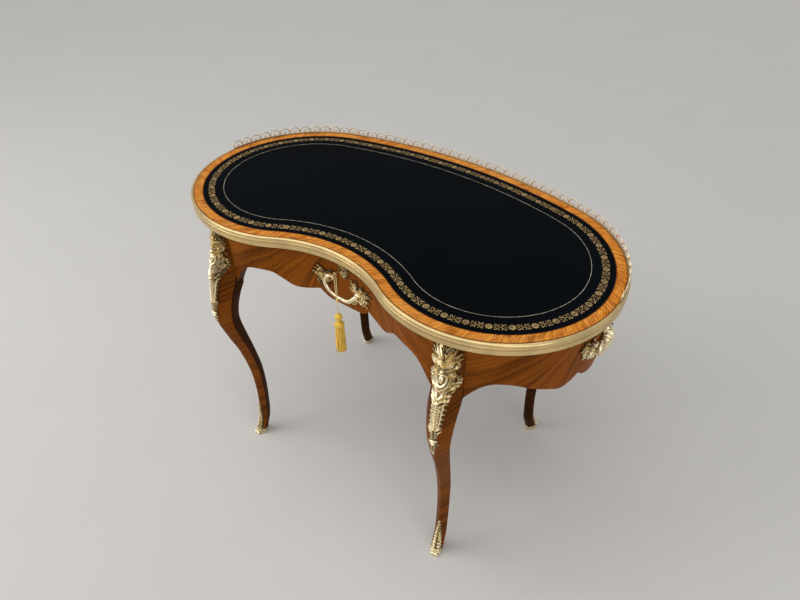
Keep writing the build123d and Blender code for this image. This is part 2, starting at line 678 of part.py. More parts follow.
def handle(run, height, standoff, bend_drop, bow_drop):
    """Cast handle: two leaves that lie on the wall and a bow that joins them."""
    base = wall_plane(run, APRON_INSET, height)
    low = height - 2 * LEAF_HALF_HEIGHT
    high = height + 2 * LEAF_HALF_HEIGHT
    skin = ring(APRON_INSET - LEAF_THICKNESS, APRON_INSET, low, high)
    outline = [(HANDLE_POST_HALF + x * LEAF_REACH, y * LEAF_HALF_HEIGHT) for x, y in LEAF_OUTLINE_SHARES]
    casting = None
    for side in (-1, 1):
        corners = [base.from_local_coords((side * x, y, -OVERRUN)) for x, y in outline]
        leaf_prism = extrude(Face(Wire.make_polygon(corners, close=True)), amount=3 * OVERRUN,
                             dir=tuple(base.z_dir))
        leaf = skin & leaf_prism
        casting = leaf if casting is None else casting + leaf
    wall_rise = wall_offset(run, HANDLE_POST_HALF)
    half = [(HANDLE_POST_HALF, HANDLE_POST_RISE, wall_rise + LEAF_THICKNESS / 2),
            (HANDLE_POST_HALF, HANDLE_POST_RISE, standoff),
            (HANDLE_BEND_HALF, -bend_drop, standoff)]
    local = [(-x, y, z) for x, y, z in half] + [(0, -bow_drop, standoff)]
    local += list(reversed(half))
    radii = [HANDLE_POST_ROUNDING, HANDLE_BEND_ROUNDING, HANDLE_BOW_ROUNDING, HANDLE_BEND_ROUNDING,
             HANDLE_POST_ROUNDING]
    path = FilletPolyline(*[base.from_local_coords(point) for point in local], radius=radii)
    start = Plane(path @ 0, z_dir=path % 0)
    bow = sweep(start * Circle(HANDLE_BOW_RADIUS), path=path)
    casting += bow
    depth = HANDLE_SCREW_LENGTH + APRON_THICKNESS
    return casting - [screw_rod(plane, depth, PIN_HOLE_GAP) for plane in handle_screw_planes(run, height)]


def screw_rod(plane, depth, gap=0):
    """Bar the size of a screw's shank along a plane's normal, or its hole with a gap round it."""
    return plane * Cylinder(SCREW_RADIUS + gap, depth, align=(Align.CENTER, Align.CENTER, Align.MIN))


def wall_offset(run, aside):
    """How far the wall at a distance aside stands out of the flat plane on its middle."""
    radius = HOLLOW_RADIUS + APRON_INSET if run == 0 else END_RADIUS - APRON_INSET
    bulge = radius - sqrt(radius**2 - aside**2)
    return bulge if run == 0 else -bulge


def escutcheon():
    """Leafy plate with the keyhole, on the drawer front."""
    skin = ring(APRON_INSET - ESCUTCHEON_THICKNESS, APRON_INSET, KEY_HEIGHT - ESCUTCHEON_FOOT,
                KEY_HEIGHT + ESCUTCHEON_TOP)
    right = []
    for x, y in ESCUTCHEON_OUTLINE_SHARES:
        reach = ESCUTCHEON_TOP if y > 0 else ESCUTCHEON_FOOT
        right.append((x * ESCUTCHEON_HALF_WIDTH, KEY_HEIGHT + y * reach))
    outline = right + [(-x, z) for x, z in reversed(right[1:-1])]
    front = FRONT_FACE_Y - OVERRUN
    prism_face = Face(Wire.make_polygon([Vector(x, front, z) for x, z in outline], close=True))
    plate = skin & extrude(prism_face, amount=2 * OVERRUN, dir=(0, 1, 0))
    return plate - keyhole()


def along_key(radius, start, stop):
    """Round bar along the key's axis between two places in Y."""
    return rod(Plane((0, 0, KEY_HEIGHT), z_dir=(0, 1, 0)), radius, start, stop)


def keyhole():
    """Round hole for the shank and a slot below it for the bit."""
    slot_half = KEY_BIT_THICKNESS / 2 + KEYHOLE_GAP
    front = FRONT_FACE_Y - OVERRUN
    slot = block(-slot_half, slot_half, front, BIT_BACK_Y, KEY_HEIGHT - KEY_BIT_REACH - KEYHOLE_GAP, KEY_HEIGHT)
    return along_key(KEY_SHANK_RADIUS + KEYHOLE_GAP, front, BIT_BACK_Y) + slot


def lock_outside():
    """Space of the lock case, let into the back of the drawer front."""
    return block(-LOCK_HALF_WIDTH, LOCK_HALF_WIDTH, LOCK_FRONT_Y, LOCK_BACK_Y, LOCK_FOOT, DRAWER_FRONT_TOP)


def lock_screw_planes():
    """Four screws through the lock case into the drawer front."""
    heights = (LOCK_FOOT + LOCK_HALF_WIDTH - LOCK_SCREW_PLACE, DRAWER_FRONT_TOP - LOCK_HALF_WIDTH + LOCK_SCREW_PLACE)
    return [Plane((side * LOCK_SCREW_PLACE, LOCK_BACK_Y, height), z_dir=(0, -1, 0))
            for side in (-1, 1) for height in heights]


def lock_case():
    """Lock case with a cavity for the key's bit and the bolt, and the drill pin in its back."""
    case = lock_outside()
    half = BOLT_HALF_WIDTH + FIT_GAP
    bit_room = KEY_BIT_REACH + KEYHOLE_GAP
    case -= block(-half, half, BOLT_FRONT_Y - FIT_GAP / 2, BOLT_BACK_Y + FIT_GAP,
                  KEY_HEIGHT - BOLT_TAIL_DROP - FIT_GAP, DRAWER_FRONT_TOP)
    case -= along_key(bit_room, BIT_FRONT_Y - FIT_GAP, BOLT_FRONT_Y)
    case -= along_key(KEY_SHANK_RADIUS + KEYHOLE_GAP, LOCK_FRONT_Y, BOLT_BACK_Y + FIT_GAP) & lock_outside()
    case -= keyhole() & lock_outside()
    case -= [rod(plane, LOCK_SCREW_RADIUS + PIN_HOLE_GAP, 0, 2 * LOCK_DEPTH) for plane in lock_screw_planes()]
    return case + along_key(DRILL_PIN_RADIUS, BIT_FRONT_Y, LOCK_BACK_Y)


def lock_screws():
    """Small screws that hold the lock."""
    screws = []
    for plane in lock_screw_planes():
        head = rod(plane, 2 * LOCK_SCREW_RADIUS, -LOCK_WALL, 0)
        screws.append(head + rod(plane, LOCK_SCREW_RADIUS, 0, LOCK_DEPTH + LOCK_SCREW_LENGTH))
    return screws


def lock_bolt():
    """Bolt plate, slotted so that it clears the drill pin as it rises."""
    top = DRAWER_FRONT_TOP - FIT_GAP
    plate = block(-BOLT_HALF_WIDTH, BOLT_HALF_WIDTH, BOLT_FRONT_Y, BOLT_BACK_Y, KEY_HEIGHT - BOLT_TAIL_DROP, top)
    reach = DRILL_PIN_RADIUS + FIT_GAP
    slot = block(-reach, reach, BOLT_FRONT_Y - OVERRUN, BOLT_BACK_Y + OVERRUN,
                 KEY_HEIGHT - BOLT_TRAVEL - reach, KEY_HEIGHT + reach)
    return plate - slot


def key():
    """Barrel key with its bit down, a collar, a neck for the tassel and a ring bow."""
    collar_back = ESCUTCHEON_FACE_Y - FIT_GAP
    collar_front = collar_back - KEY_COLLAR_LENGTH
    neck_front = TASSEL_Y - 2 * CORD_RADIUS
    stem = along_key(KEY_SHANK_RADIUS, collar_front, BIT_BACK_Y)
    stem += along_key(KEY_COLLAR_RADIUS, collar_front, collar_back)
    stem += along_key(KEY_NECK_RADIUS, neck_front, collar_front)
    stem += along_key(KEY_COLLAR_RADIUS - FIT_GAP, neck_front - KEY_COLLAR_LENGTH, neck_front)
    half = KEY_BIT_THICKNESS / 2
    stem += block(-half, half, BIT_FRONT_Y, BIT_BACK_Y, KEY_HEIGHT - KEY_BIT_REACH, KEY_HEIGHT)
    bow_centre = (0, neck_front - KEY_COLLAR_LENGTH - KEY_BOW_RADIUS, KEY_HEIGHT)
    bow = Plane(bow_centre, z_dir=(1, 0, 0)) * Torus(KEY_BOW_RADIUS, KEY_BOW_WIRE)
    return stem + bow - along_key(DRILL_PIN_RADIUS + DRILL_PIN_GAP, BIT_BACK_Y - KEY_BORE_DEPTH, BIT_BACK_Y)


# Drawer
def drawer_front():
    """Curved front with its lobed lower edge, keyhole, lock recess and screw holes."""
    wall = ring(APRON_INSET, APRON_BACK, APRON_FOOT, DRAWER_FRONT_TOP)
    wall &= block(-DRAWER_HALF_WIDTH, DRAWER_HALF_WIDTH, -TOP_DEPTH, 0, APRON_FOOT, DRAWER_FRONT_TOP)
    wall -= front_cutters()
    wall -= block(-LOCK_HALF_WIDTH, LOCK_HALF_WIDTH, LOCK_FRONT_Y, LOCK_BACK_Y + OVERRUN, LOCK_FOOT,
                  DRAWER_FRONT_TOP)
    bite = LOCK_DEPTH + LOCK_SCREW_LENGTH
    wall -= [rod(plane, LOCK_SCREW_RADIUS + PIN_HOLE_GAP, 0, bite) for plane in lock_screw_planes()]
    wall -= [screw_seat(plane) for plane in handle_screw_planes(0, HANDLE_HEIGHT)]
    return wall - keyhole()


def screw_seat(plane):
    """Hole for a handle screw with a flat seat for its head behind the wall."""
    hole = plane * Pos(0, 0, -OVERRUN) * Cylinder(
        SCREW_RADIUS + SCREW_HOLE_GAP, 3 * OVERRUN, align=(Align.CENTER, Align.CENTER, Align.MIN))
    seat = plane * Cylinder(SCREW_HEAD_RADIUS + SCREW_HOLE_GAP, OVERRUN,
                            align=(Align.CENTER, Align.CENTER, Align.MAX))
    return hole + seat


def handle_screws(run, height):
    """Screws from behind the wall into the handle's posts."""
    screws = []
    for plane in handle_screw_planes(run, height):
        head = plane * Cylinder(SCREW_HEAD_RADIUS, SCREW_HEAD_HEIGHT,
                                align=(Align.CENTER, Align.CENTER, Align.MAX))
        screws.append(head + screw_rod(plane, HANDLE_SCREW_LENGTH + APRON_THICKNESS))
    return screws


INSIDE = kidney(APRON_BACK, APRON_FOOT, UNDERSIDE)
SIDE_INNER = DRAWER_HALF_WIDTH - DRAWER_SIDE_THICKNESS
DRAWER_BACK_START = DRAWER_BACK_END - DRAWER_SIDE_THICKNESS


def drawer_side(side):
    """Side board, cut to the curve of the front, grooved for the bottom."""
    x_low, x_high = sorted((side * SIDE_INNER, side * DRAWER_HALF_WIDTH))
    board = block(x_low, x_high, -TOP_DEPTH, DRAWER_BACK_END, DRAWER_FOOT, DRAWER_TOP) & INSIDE
    return board - drawer_bottom_space(0)


def drawer_bottom_space(trim):
    """Space of the bottom board, which sits in grooves in the sides."""
    half = SIDE_INNER + DRAWER_GROOVE - trim
    low = DRAWER_FOOT + DRAWER_BOTTOM_RISE
    return block(-half, half, -TOP_DEPTH, DRAWER_BACK_START, low, low + DRAWER_BOTTOM_THICKNESS)


def drawer_bottom():
    """Bottom board."""
    return drawer_bottom_space(FIT_GAP) & INSIDE


def drawer_back():
    """Back board between the sides, above the foot of the grooves."""
    return block(-SIDE_INNER, SIDE_INNER, DRAWER_BACK_START, DRAWER_BACK_END, DRAWER_FOOT, DRAWER_TOP)


def drawer_guide(side):
    """Guide beside the drawer with the runner that it slides on."""
    inner = DRAWER_HALF_WIDTH + DRAWER_GAP
    outer = inner + GUIDE_THICKNESS
    runner_top = DRAWER_FOOT - FIT_GAP
    runner_foot = runner_top - RUNNER_THICKNESS
    x_low, x_high = sorted((side * inner, side * outer))
    guide = block(x_low, x_high, -TOP_DEPTH, TOP_DEPTH, runner_foot, UNDERSIDE) & INSIDE
    x_low, x_high = sorted((side * SIDE_INNER, side * inner))
    ledge = block(x_low, x_high, -TOP_DEPTH, TOP_DEPTH, runner_foot, runner_top)
    return guide + (ledge & kidney(APRON_BACK + 2 * DRAWER_GAP, APRON_FOOT, UNDERSIDE))


def drawer_kicker(side):
    """Strip above the drawer side that stops the drawer from tipping."""
    x_low, x_high = sorted((side * SIDE_INNER, side * (DRAWER_HALF_WIDTH + DRAWER_GAP)))
    strip = block(x_low, x_high, -TOP_DEPTH, TOP_DEPTH, DRAWER_TOP + FIT_GAP, UNDERSIDE)
    return strip & kidney(APRON_BACK + 2 * DRAWER_GAP, APRON_FOOT, UNDERSIDE)


def drawer_stops():
    """Blocks on the runners behind the drawer."""
    runner_top = DRAWER_FOOT - FIT_GAP
    stops = []
    for side in (-1, 1):
        x_low, x_high = sorted((side * SIDE_INNER, side * (DRAWER_HALF_WIDTH + DRAWER_GAP)))
        start = DRAWER_BACK_END + FIT_GAP
        stops.append(block(x_low, x_high, start, start + STOP_LENGTH, runner_top, runner_top + STOP_HEIGHT))
    return stops


# Tassel
def tassel_loop():
    """Cord doubled over the key's neck, with both ends in the knot."""
    top = KEY_HEIGHT + KEY_NECK_RADIUS + FIT_GAP + CORD_RADIUS
    shoulder = KEY_NECK_RADIUS + 2 * FIT_GAP + CORD_RADIUS
    corners = [(-LOOP_FOOT_HALF, KNOT_TOP), (-shoulder, top), (shoulder, top), (LOOP_FOOT_HALF, KNOT_TOP)]
    radius = shoulder - FIT_GAP
    path = FilletPolyline(*[(x, TASSEL_Y, z) for x, z in corners], radius=radius)
    tube = sweep(Plane(path @ 0, z_dir=path % 0) * Circle(CORD_RADIUS), path=path)
    tube -= block(-OVERRUN, OVERRUN, TASSEL_Y - OVERRUN, TASSEL_Y + OVERRUN, KNOT_TOP - OVERRUN, KNOT_TOP)
    print("tassel loop: length %.1f, radius %.2f, volume over section times length %.3f" % (
        path.length, radius, tube.volume / (pi * CORD_RADIUS**2 * path.length)))
    return tube


def tassel_profile(points):
    """Turned piece about the tassel's axis, from corners given as radius and height."""
    corners = [Vector(radius, 0, height) for radius, height in points]
    face = Face(Wire.make_polygon(corners, close=True))
    return Pos(0, TASSEL_Y, 0) * revolve(face, Axis.Z)


def tassel_knot():
    """Small wrapped knot where the two cords become one."""
    foot = KNOT_TOP - KNOT_HEIGHT
    waist = KNOT_HEIGHT / 4
    return tassel_profile([(0, foot), (CORD_RADIUS, foot), (KNOT_RADIUS, foot + waist),
                           (KNOT_RADIUS, KNOT_TOP - waist), (2 * CORD_RADIUS + FIT_GAP, KNOT_TOP), (0, KNOT_TOP)])


def tassel_strand():
    """Single cord from the knot down to the tassel."""
    print("tassel strand: length %.1f" % STRAND_LENGTH)
    return rod(Plane((0, TASSEL_Y, 0)), CORD_RADIUS, TASSEL_TOP, KNOT_TOP - KNOT_HEIGHT)


def tassel_head():
    """Bound ball on a short neck."""
    centre = TASSEL_TOP - HEAD_RADIUS
    neck_top = centre - HEAD_RADIUS
    ball = Pos(0, TASSEL_Y, centre) * Sphere(HEAD_RADIUS)
    return ball + rod(Plane((0, TASSEL_Y, 0)), HEAD_NECK_RADIUS, neck_top - HEAD_NECK_HEIGHT, centre)


RUFF_TOP = TASSEL_TOP - 2 * HEAD_RADIUS - HEAD_NECK_HEIGHT
SKIRT_TOP = RUFF_TOP - RUFF_HEIGHT


def tassel_ruff():
    """Full rolled collar under the neck."""
    return tassel_profile([
        (0, SKIRT_TOP), (SKIRT_TOP_RADIUS, SKIRT_TOP), (RUFF_RADIUS, SKIRT_TOP + RUFF_HEIGHT / 3),
        (RUFF_RADIUS, RUFF_TOP - RUFF_HEIGHT / 4), (HEAD_NECK_RADIUS, RUFF_TOP), (0, RUFF_TOP)])


def tassel_skirt():
    """Fluted skirt of hanging threads."""
    faces = []
    for radius, height in ((SKIRT_TOP_RADIUS, SKIRT_TOP), (SKIRT_RADIUS, SKIRT_TOP - SKIRT_HEIGHT)):
        corners = []
        for index in range(2 * SKIRT_FLUTES):
            turn = pi * index / SKIRT_FLUTES
            reach = radius - FLUTE_DEPTH * (index % 2)
            corners.append(Vector(reach * cos(turn), TASSEL_Y + reach * sin(turn), height))
        faces.append(Face(Wire.make_polygon(corners, close=True)))
    return loft(faces, ruled=True)


# Front of the knee mounts and back of the moulding settle where the middle of the desk lies
KNEE_REACH = KNEE_SWELL + max(relief for _, _, relief in KNEE_MOUNT_SHARES[:4]) * MOUNT_RELIEF
FRONT_FOOT, FRONT_OUTWARD = edge_frame(FRONT_LEG_RUN)
FRONT_REACH = abs(FRONT_FOOT.Y + FRONT_OUTWARD.Y * KNEE_REACH)
CENTRING = (FRONT_REACH - HALF_DEPTH - MOULDING_LEDGE) / 2


def save(name, piece):
    """Write one node, moved so that the origin lies under the middle of the desk."""
    solids = [solid for item in (piece if isinstance(piece, list) else [piece]) for solid in item.solids()]
    shape = solids[0] if len(solids) == 1 else Compound(children=solids)
    export_step(Pos(0, CENTRING, 0) * shape, "parts/" + name + ".step")


save("top_board", top_board())
save("top_crossband", ring(0, CROSSBAND_WIDTH, BOARD_TOP, TABLE_HEIGHT))
save("leather_top", kidney(CROSSBAND_WIDTH, BOARD_TOP, BOARD_TOP + LEATHER_THICKNESS))
save("edge_moulding", edge_moulding())
save("edge_moulding_pins", moulding_pins())
save("gallery", gallery() - stud_rods(GALLERY_FOOT_RAIL / 2, PIN_HOLE_GAP))
save("gallery_studs", stud_rods(GALLERY_FOOT_RAIL / 2))

BLOCK_STARTS = FRONT_LEG_RUN - LEG_BLOCK_HALF
DRAWER_MOUTH = block(-DRAWER_HALF_WIDTH - DRAWER_GAP, DRAWER_HALF_WIDTH + DRAWER_GAP, -TOP_DEPTH, 0,
                     APRON_FOOT, UNDERSIDE)
save("apron_front_left", apron(-BLOCK_STARTS, 0, front_cutters()) - DRAWER_MOUTH)
save("apron_front_right", apron(0, BLOCK_STARTS, front_cutters()) - DRAWER_MOUTH)
for side, name in ((-1, "left"), (1, "right")):
    ends = sorted(side * run for run in (FRONT_LEG_RUN + LEG_BLOCK_HALF, BACK_LEG_RUN - LEG_BLOCK_HALF))
    end_apron = apron(*ends, end_cutters(side))
    seats = [screw_seat(plane) for plane in handle_screw_planes(side * END_RUN, END_HANDLE_HEIGHT)]
    save("apron_%s_end" % name, end_apron - seats)
    save("end_handle_" + name, handle(side * END_RUN, END_HANDLE_HEIGHT, END_HANDLE_STANDOFF,
                                            END_BEND_DROP, END_BOW_DROP))
    save("drawer_guide_" + name, drawer_guide(side))
    save("drawer_kicker_" + name, drawer_kicker(side))
    save("drawer_side_" + name, drawer_side(side))
save("end_handle_screws", handle_screws(-END_RUN, END_HANDLE_HEIGHT) + handle_screws(END_RUN, END_HANDLE_HEIGHT))
BACK_STARTS = BACK_LEG_RUN + LEG_BLOCK_HALF
save("apron_back", apron(BACK_STARTS, 2 * HALF_EDGE - BACK_STARTS, back_cutters()))

for name, run in LEG_RUNS.items():
    shaft = leg(run)
    save("leg_" + name, shaft)
    save("knee_mount_" + name, knee_mount(run, shaft))
    save("sabot_" + name, sabot(run, shaft))

save("corner_blocks", [corner_block(run) - screw_hole(top_screw_plane(run), 2 * CORNER_BLOCK_HEIGHT)
                       for run in LEG_RUNS.values()])
save("top_screws", [screw(top_screw_plane(run), CORNER_BLOCK_HEIGHT + TOP_SCREW_BITE)
                    for run in LEG_RUNS.values()])
save("drawer_stops", drawer_stops())
save("lock_keep", keep_plate(False) - keep_screws(PIN_HOLE_GAP))
save("lock_keep_screws", keep_screws())

save("drawer_front", drawer_front())
save("drawer_back", drawer_back())
save("drawer_bottom", drawer_bottom())
save("drawer_handle", handle(0, HANDLE_HEIGHT, HANDLE_STANDOFF, HANDLE_BEND_DROP, HANDLE_BOW_DROP))
save("drawer_handle_screws", handle_screws(0, HANDLE_HEIGHT))
save("escutcheon", escutcheon())
save("lock_case", lock_case())
save("lock_screws", lock_screws())
save("lock_bolt", lock_bolt())
save("key", key())

save("tassel_loop", tassel_loop())
save("tassel_knot", tassel_knot())
save("tassel_strand", tassel_strand())
save("tassel_head", tassel_head())
save("tassel_ruff", tassel_ruff())
save("tassel_skirt", tassel_skirt())

print("origin lies %.2f in front of the middle of the wooden top" % CENTRING)
print("key axis at y %.2f, z %.2f" % (TASSEL_Y + CENTRING, KEY_HEIGHT))
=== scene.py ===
"""Kidney shaped writing desk with a leather top, a pierced gallery and gilt mounts."""
import json
import math
import random

import bpy
from mathutils import Matrix, Vector


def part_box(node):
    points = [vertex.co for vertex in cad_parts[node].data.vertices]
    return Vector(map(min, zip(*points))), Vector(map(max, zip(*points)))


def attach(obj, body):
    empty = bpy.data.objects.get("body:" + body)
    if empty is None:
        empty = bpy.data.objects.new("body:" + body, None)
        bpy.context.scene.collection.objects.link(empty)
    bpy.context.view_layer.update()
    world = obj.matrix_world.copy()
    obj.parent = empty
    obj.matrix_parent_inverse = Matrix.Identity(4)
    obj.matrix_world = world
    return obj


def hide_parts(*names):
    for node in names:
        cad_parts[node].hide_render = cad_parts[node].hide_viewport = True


bl_info = {
    "name": "Kidney Shaped Writing Desk",
    "version": (1, 0, 0),
    "blender": (4, 5, 0),
    "location": "View3D > Sidebar > Desk",
    "description": "Finishes a kidney shaped writing desk with veneer, leather, brass and gilt mounts",
    "category": "Add Mesh",
}

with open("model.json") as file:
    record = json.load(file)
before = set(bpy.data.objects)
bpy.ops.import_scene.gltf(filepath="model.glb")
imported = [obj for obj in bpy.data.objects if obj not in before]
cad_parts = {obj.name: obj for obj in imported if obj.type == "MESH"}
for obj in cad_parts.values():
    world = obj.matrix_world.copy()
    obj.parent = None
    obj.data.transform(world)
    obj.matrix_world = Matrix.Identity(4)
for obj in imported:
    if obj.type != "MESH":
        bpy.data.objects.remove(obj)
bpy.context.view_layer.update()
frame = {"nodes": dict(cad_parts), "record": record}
MM = 0.001
LEGS = ("front_left", "front_right", "back_left", "back_right")

# Levels and places that the frame gives
BOARD_LOW, BOARD_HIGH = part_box("top_board")
BAND_LOW, BAND_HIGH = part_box("top_crossband")
LEATHER_LOW, LEATHER_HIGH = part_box("leather_top")
MOULDING_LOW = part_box("edge_moulding")[0]
GALLERY_LOW, GALLERY_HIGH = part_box("gallery")
UNDERSIDE = BOARD_LOW.z
BAND_WIDTH = BOARD_HIGH.x - LEATHER_HIGH.x
APRON_INSET = BOARD_HIGH.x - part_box("apron_right_end")[1].x
APRON_THICKNESS = 0.020
APRON_BACK = APRON_INSET + APRON_THICKNESS
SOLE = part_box("leg_front_right")[0].z
LEG_SPAN = UNDERSIDE - SOLE


# Outline
class Edge:
    """Wooden edge of the kidney, measured as a run from the front middle, positive to the right.

    Four arcs make each half: the hollow in front, the round end, the shoulder and the back.
    Each arc is its centre, radius, first and last bearing, and 1, or -1 where it curves inwards.
    """

    END_SHARE = 0.447
    BACK_SHARE = 1.27
    SHOULDER_SHARE = 1.068
    HOLLOW = 0.076

    def __init__(self, low, high):
        half_length = high.x
        depth = high.y - low.y
        half_depth = depth / 2
        self.middle = (high.y + low.y) / 2
        end_radius = self.END_SHARE * depth
        end = Vector((half_length - end_radius, end_radius - half_depth))
        to_back = half_depth - end.y
        least_back = (end.x**2 + to_back**2 - end_radius**2) / (2 * (to_back - end_radius))
        back_radius = self.BACK_SHARE * least_back
        back = Vector((0, half_depth - back_radius))
        apart = (end - back).length
        shoulder_radius = self.SHOULDER_SHARE * (back_radius + end_radius - apart) / 2
        to_shoulder = back_radius - shoulder_radius
        to_end = shoulder_radius - end_radius
        along = (apart**2 + to_shoulder**2 - to_end**2) / (2 * apart)
        aside = math.sqrt(to_shoulder**2 - along**2)
        towards = (end - back).normalized()
        shoulder = back + towards * along + Vector((-towards.y, towards.x)) * aside
        rise = end_radius - self.HOLLOW
        hollow_radius = (end.x**2 + rise**2 - end_radius**2) / (2 * self.HOLLOW)
        hollow = Vector((0, self.HOLLOW - half_depth - hollow_radius))
        hollow_stop = self.bearing(hollow, end)
        end_stop = self.bearing(shoulder, end)
        shoulder_stop = self.bearing(back, shoulder)
        quarter = math.pi / 2
        self.arcs = (
            (hollow, hollow_radius, quarter, hollow_stop, -1),
            (end, end_radius, hollow_stop - math.pi, end_stop, 1),
            (shoulder, shoulder_radius, end_stop, shoulder_stop, 1),
            (back, back_radius, shoulder_stop, quarter, 1),
        )
        self.lengths = [radius * abs(stop - start) for _, radius, start, stop, _ in self.arcs]
        self.half = sum(self.lengths)

    @staticmethod
    def bearing(start, stop):
        """Direction from one point to another."""
        return math.atan2(stop.y - start.y, stop.x - start.x)

    def frame(self, run):
        """Point of the edge and its outward direction."""
        if abs(run) > self.half:
            run -= math.copysign(2 * self.half, run)
        left = abs(run)
        index = 0
        while index < len(self.arcs) - 1 and left > self.lengths[index]:
            left -= self.lengths[index]
            index += 1
        centre, radius, start, stop, side = self.arcs[index]
        turn = start + (stop - start) * left / self.lengths[index]
        direction = Vector((math.cos(turn), math.sin(turn)))
        point = centre + direction * radius
        outward = direction * side
        if run < 0:
            point.x, outward.x = -point.x, -outward.x
        return point + Vector((0, self.middle)), outward

    def place(self, run, out, height):
        """Point at a run, a distance out of the edge and a height."""
        point, outward = self.frame(run)
        return (point + outward * out).to_3d() + Vector((0, 0, height))

    def directions(self, run):
        """Outward direction and the direction along the edge, both level."""
        outward = self.frame(run)[1].to_3d()
        return outward, Vector((-outward.y, outward.x, 0))


# Runs of the legs, as shares of the way from the front middle to the back middle
EDGE = Edge(BOARD_LOW, BOARD_HIGH)
FRONT_LEG_RUN = 0.2414 * EDGE.half
BACK_LEG_RUN = 0.7656 * EDGE.half
END_RUN = (FRONT_LEG_RUN + BACK_LEG_RUN) / 2
LEG_RUNS = dict(zip(LEGS, (-FRONT_LEG_RUN, FRONT_LEG_RUN, -BACK_LEG_RUN, BACK_LEG_RUN)))
LEG_HALF = 0.038


# Tables and lines
def mixed(low, high, mix):
    """Value between two values."""
    return low + (high - low) * mix


def from_table(values, share):
    """Value at a share of an evenly spaced table, or the one value given."""
    if not isinstance(values, (list, tuple)):
        return values
    place = min(max(share, 0), 1) * (len(values) - 1)
    index = min(int(place), len(values) - 2)
    return mixed(values[index], values[index + 1], place - index)


def smooth_row(rows, share):
    """Values of a table at a share, on smooth curves through its rows."""
    index = 0
    while index < len(rows) - 2 and share > rows[index + 1][0]:
        index += 1
    lower, upper = rows[index], rows[index + 1]
    before = rows[max(index - 1, 0)]
    after = rows[min(index + 2, len(rows) - 1)]
    span = upper[0] - lower[0]
    mix = (share - lower[0]) / span
    values = []
    for column in range(1, len(lower)):
        start_slope = (upper[column] - before[column]) / (upper[0] - before[0])
        stop_slope = (after[column] - lower[column]) / (after[0] - lower[0])
        value = lower[column] + (upper[column] - lower[column]) * mix**2 * (3 - 2 * mix)
        value += span * mix * (1 - mix) * (start_slope * (1 - mix) - stop_slope * mix)
        values.append(value)
    return values


def smooth_line(points, stations):
    """Evenly numbered points on a smooth line through the given ones."""
    spans = [0]
    for start, stop in zip(points, points[1:]):
        spans.append(spans[-1] + (Vector(stop) - Vector(start)).length)
    rows = [(span / spans[-1], *point) for span, point in zip(spans, points)]
    return [Vector(smooth_row(rows, step / stations)) for step in range(stations + 1)]


# Shapes of the lower edges. A lobe runs from the middle to a cusp and an arch from there to the leg, each as
# a share of its run and a share of the aprons' depth
APRON_DEPTH = 0.153
FRONT_CUSP = 0.226
FRONT_LOBE = ((0, 0.889), (0.3, 0.882), (0.7, 0.843), (1, 0.725))
FRONT_ARCH = (
    (0, 0.725), (0.137, 0.784), (0.265, 0.778), (0.393, 0.634), (0.486, 0.556), (0.677, 0.549),
    (0.765, 0.575), (0.832, 0.63), (0.887, 0.72), (0.93, 0.815), (0.97, 0.91), (1, 0.98))
END_CUSP = 0.198
END_LOBE = ((0, 0.993), (0.4, 0.96), (0.75, 0.9), (1, 0.81))
END_ARCH = (
    (0, 0.81), (0.087, 0.882), (0.192, 0.922), (0.292, 0.869), (0.484, 0.758), (0.606, 0.68),
    (0.726, 0.654), (0.8, 0.673), (0.875, 0.745), (0.93, 0.835), (0.97, 0.918), (1, 0.98))


def lower_edge(run, middle, half, cusp, lobe, arch):
    """Height of a shaped lower edge at a run."""
    share = min(abs(run - middle) / half, 1)
    if share < cusp:
        drop = smooth_row(lobe, share / cusp)[0]
    else:
        drop = smooth_row(arch, (share - cusp) / (1 - cusp))[0]
    return UNDERSIDE - drop * APRON_DEPTH


FRONT_EDGE = (0, FRONT_LEG_RUN - LEG_HALF, FRONT_CUSP, FRONT_LOBE, FRONT_ARCH)
BACK_EDGE = (EDGE.half, EDGE.half - BACK_LEG_RUN - LEG_HALF, FRONT_CUSP, FRONT_LOBE, FRONT_ARCH)


def end_edge(side):
    """Shape of the lower edge of one end."""
    return (side * END_RUN, (BACK_LEG_RUN - FRONT_LEG_RUN) / 2 - LEG_HALF, END_CUSP, END_LOBE, END_ARCH)


# Sections of a leg, by share of its height: how far out its arris, its sides and its inner face stand, and
# the half widths of the sides and the inner face, as shares of the knee's swell
KNEE_SWELL = 0.040
ARRIS_REACH = 0.007
ARRIS_ROUNDING = 0.0022
LEG_SECTIONS = (  # height, arris, half width, side, inner face, its half width
    (0, 0.1, 0.375, -0.3, -0.8, 0.17), (0.02, -0.03, 0.4, -0.42, -0.87, 0.18),
    (0.078, -0.4, 0.4, -0.8, -1.2, 0.18), (0.166, -0.55, 0.4, -0.95, -1.35, 0.18),
    (0.252, -0.575, 0.41, -0.985, -1.4, 0.19), (0.352, -0.425, 0.45, -0.875, -1.325, 0.2),
    (0.463, 0, 0.5, -0.5, -1, 0.23), (0.543, 0.48, 0.575, -0.1, -0.7, 0.28),
    (0.628, 0.925, 0.675, 0.25, -0.425, 0.37), (0.684, 1, 0.75, 0.22, -0.5, 0.48),
    (0.737, 0.95, 0.825, 0.03, -0.75, 0.62), (0.77, 0.87, 0.86, -0.2, -0.97, 0.72),
    (0.799, 0.775, 0.86, -0.42, -1.08, 0.77), (0.832, 0.625, 0.85, -0.6, -1.18, 0.76),
    (0.88, 0.35, 0.84, -0.65, -1.22, 0.75), (1, -0.15, 0.84, -0.65, -1.22, 0.75))


def leg_sizes(height):
    """Arris, half width, side, inner face and its half width at a height of a leg, in metres."""
    share = min(max((height - SOLE) / LEG_SPAN, 0), 1)
    return [KNEE_SWELL * value for value in smooth_row(LEG_SECTIONS, share)]


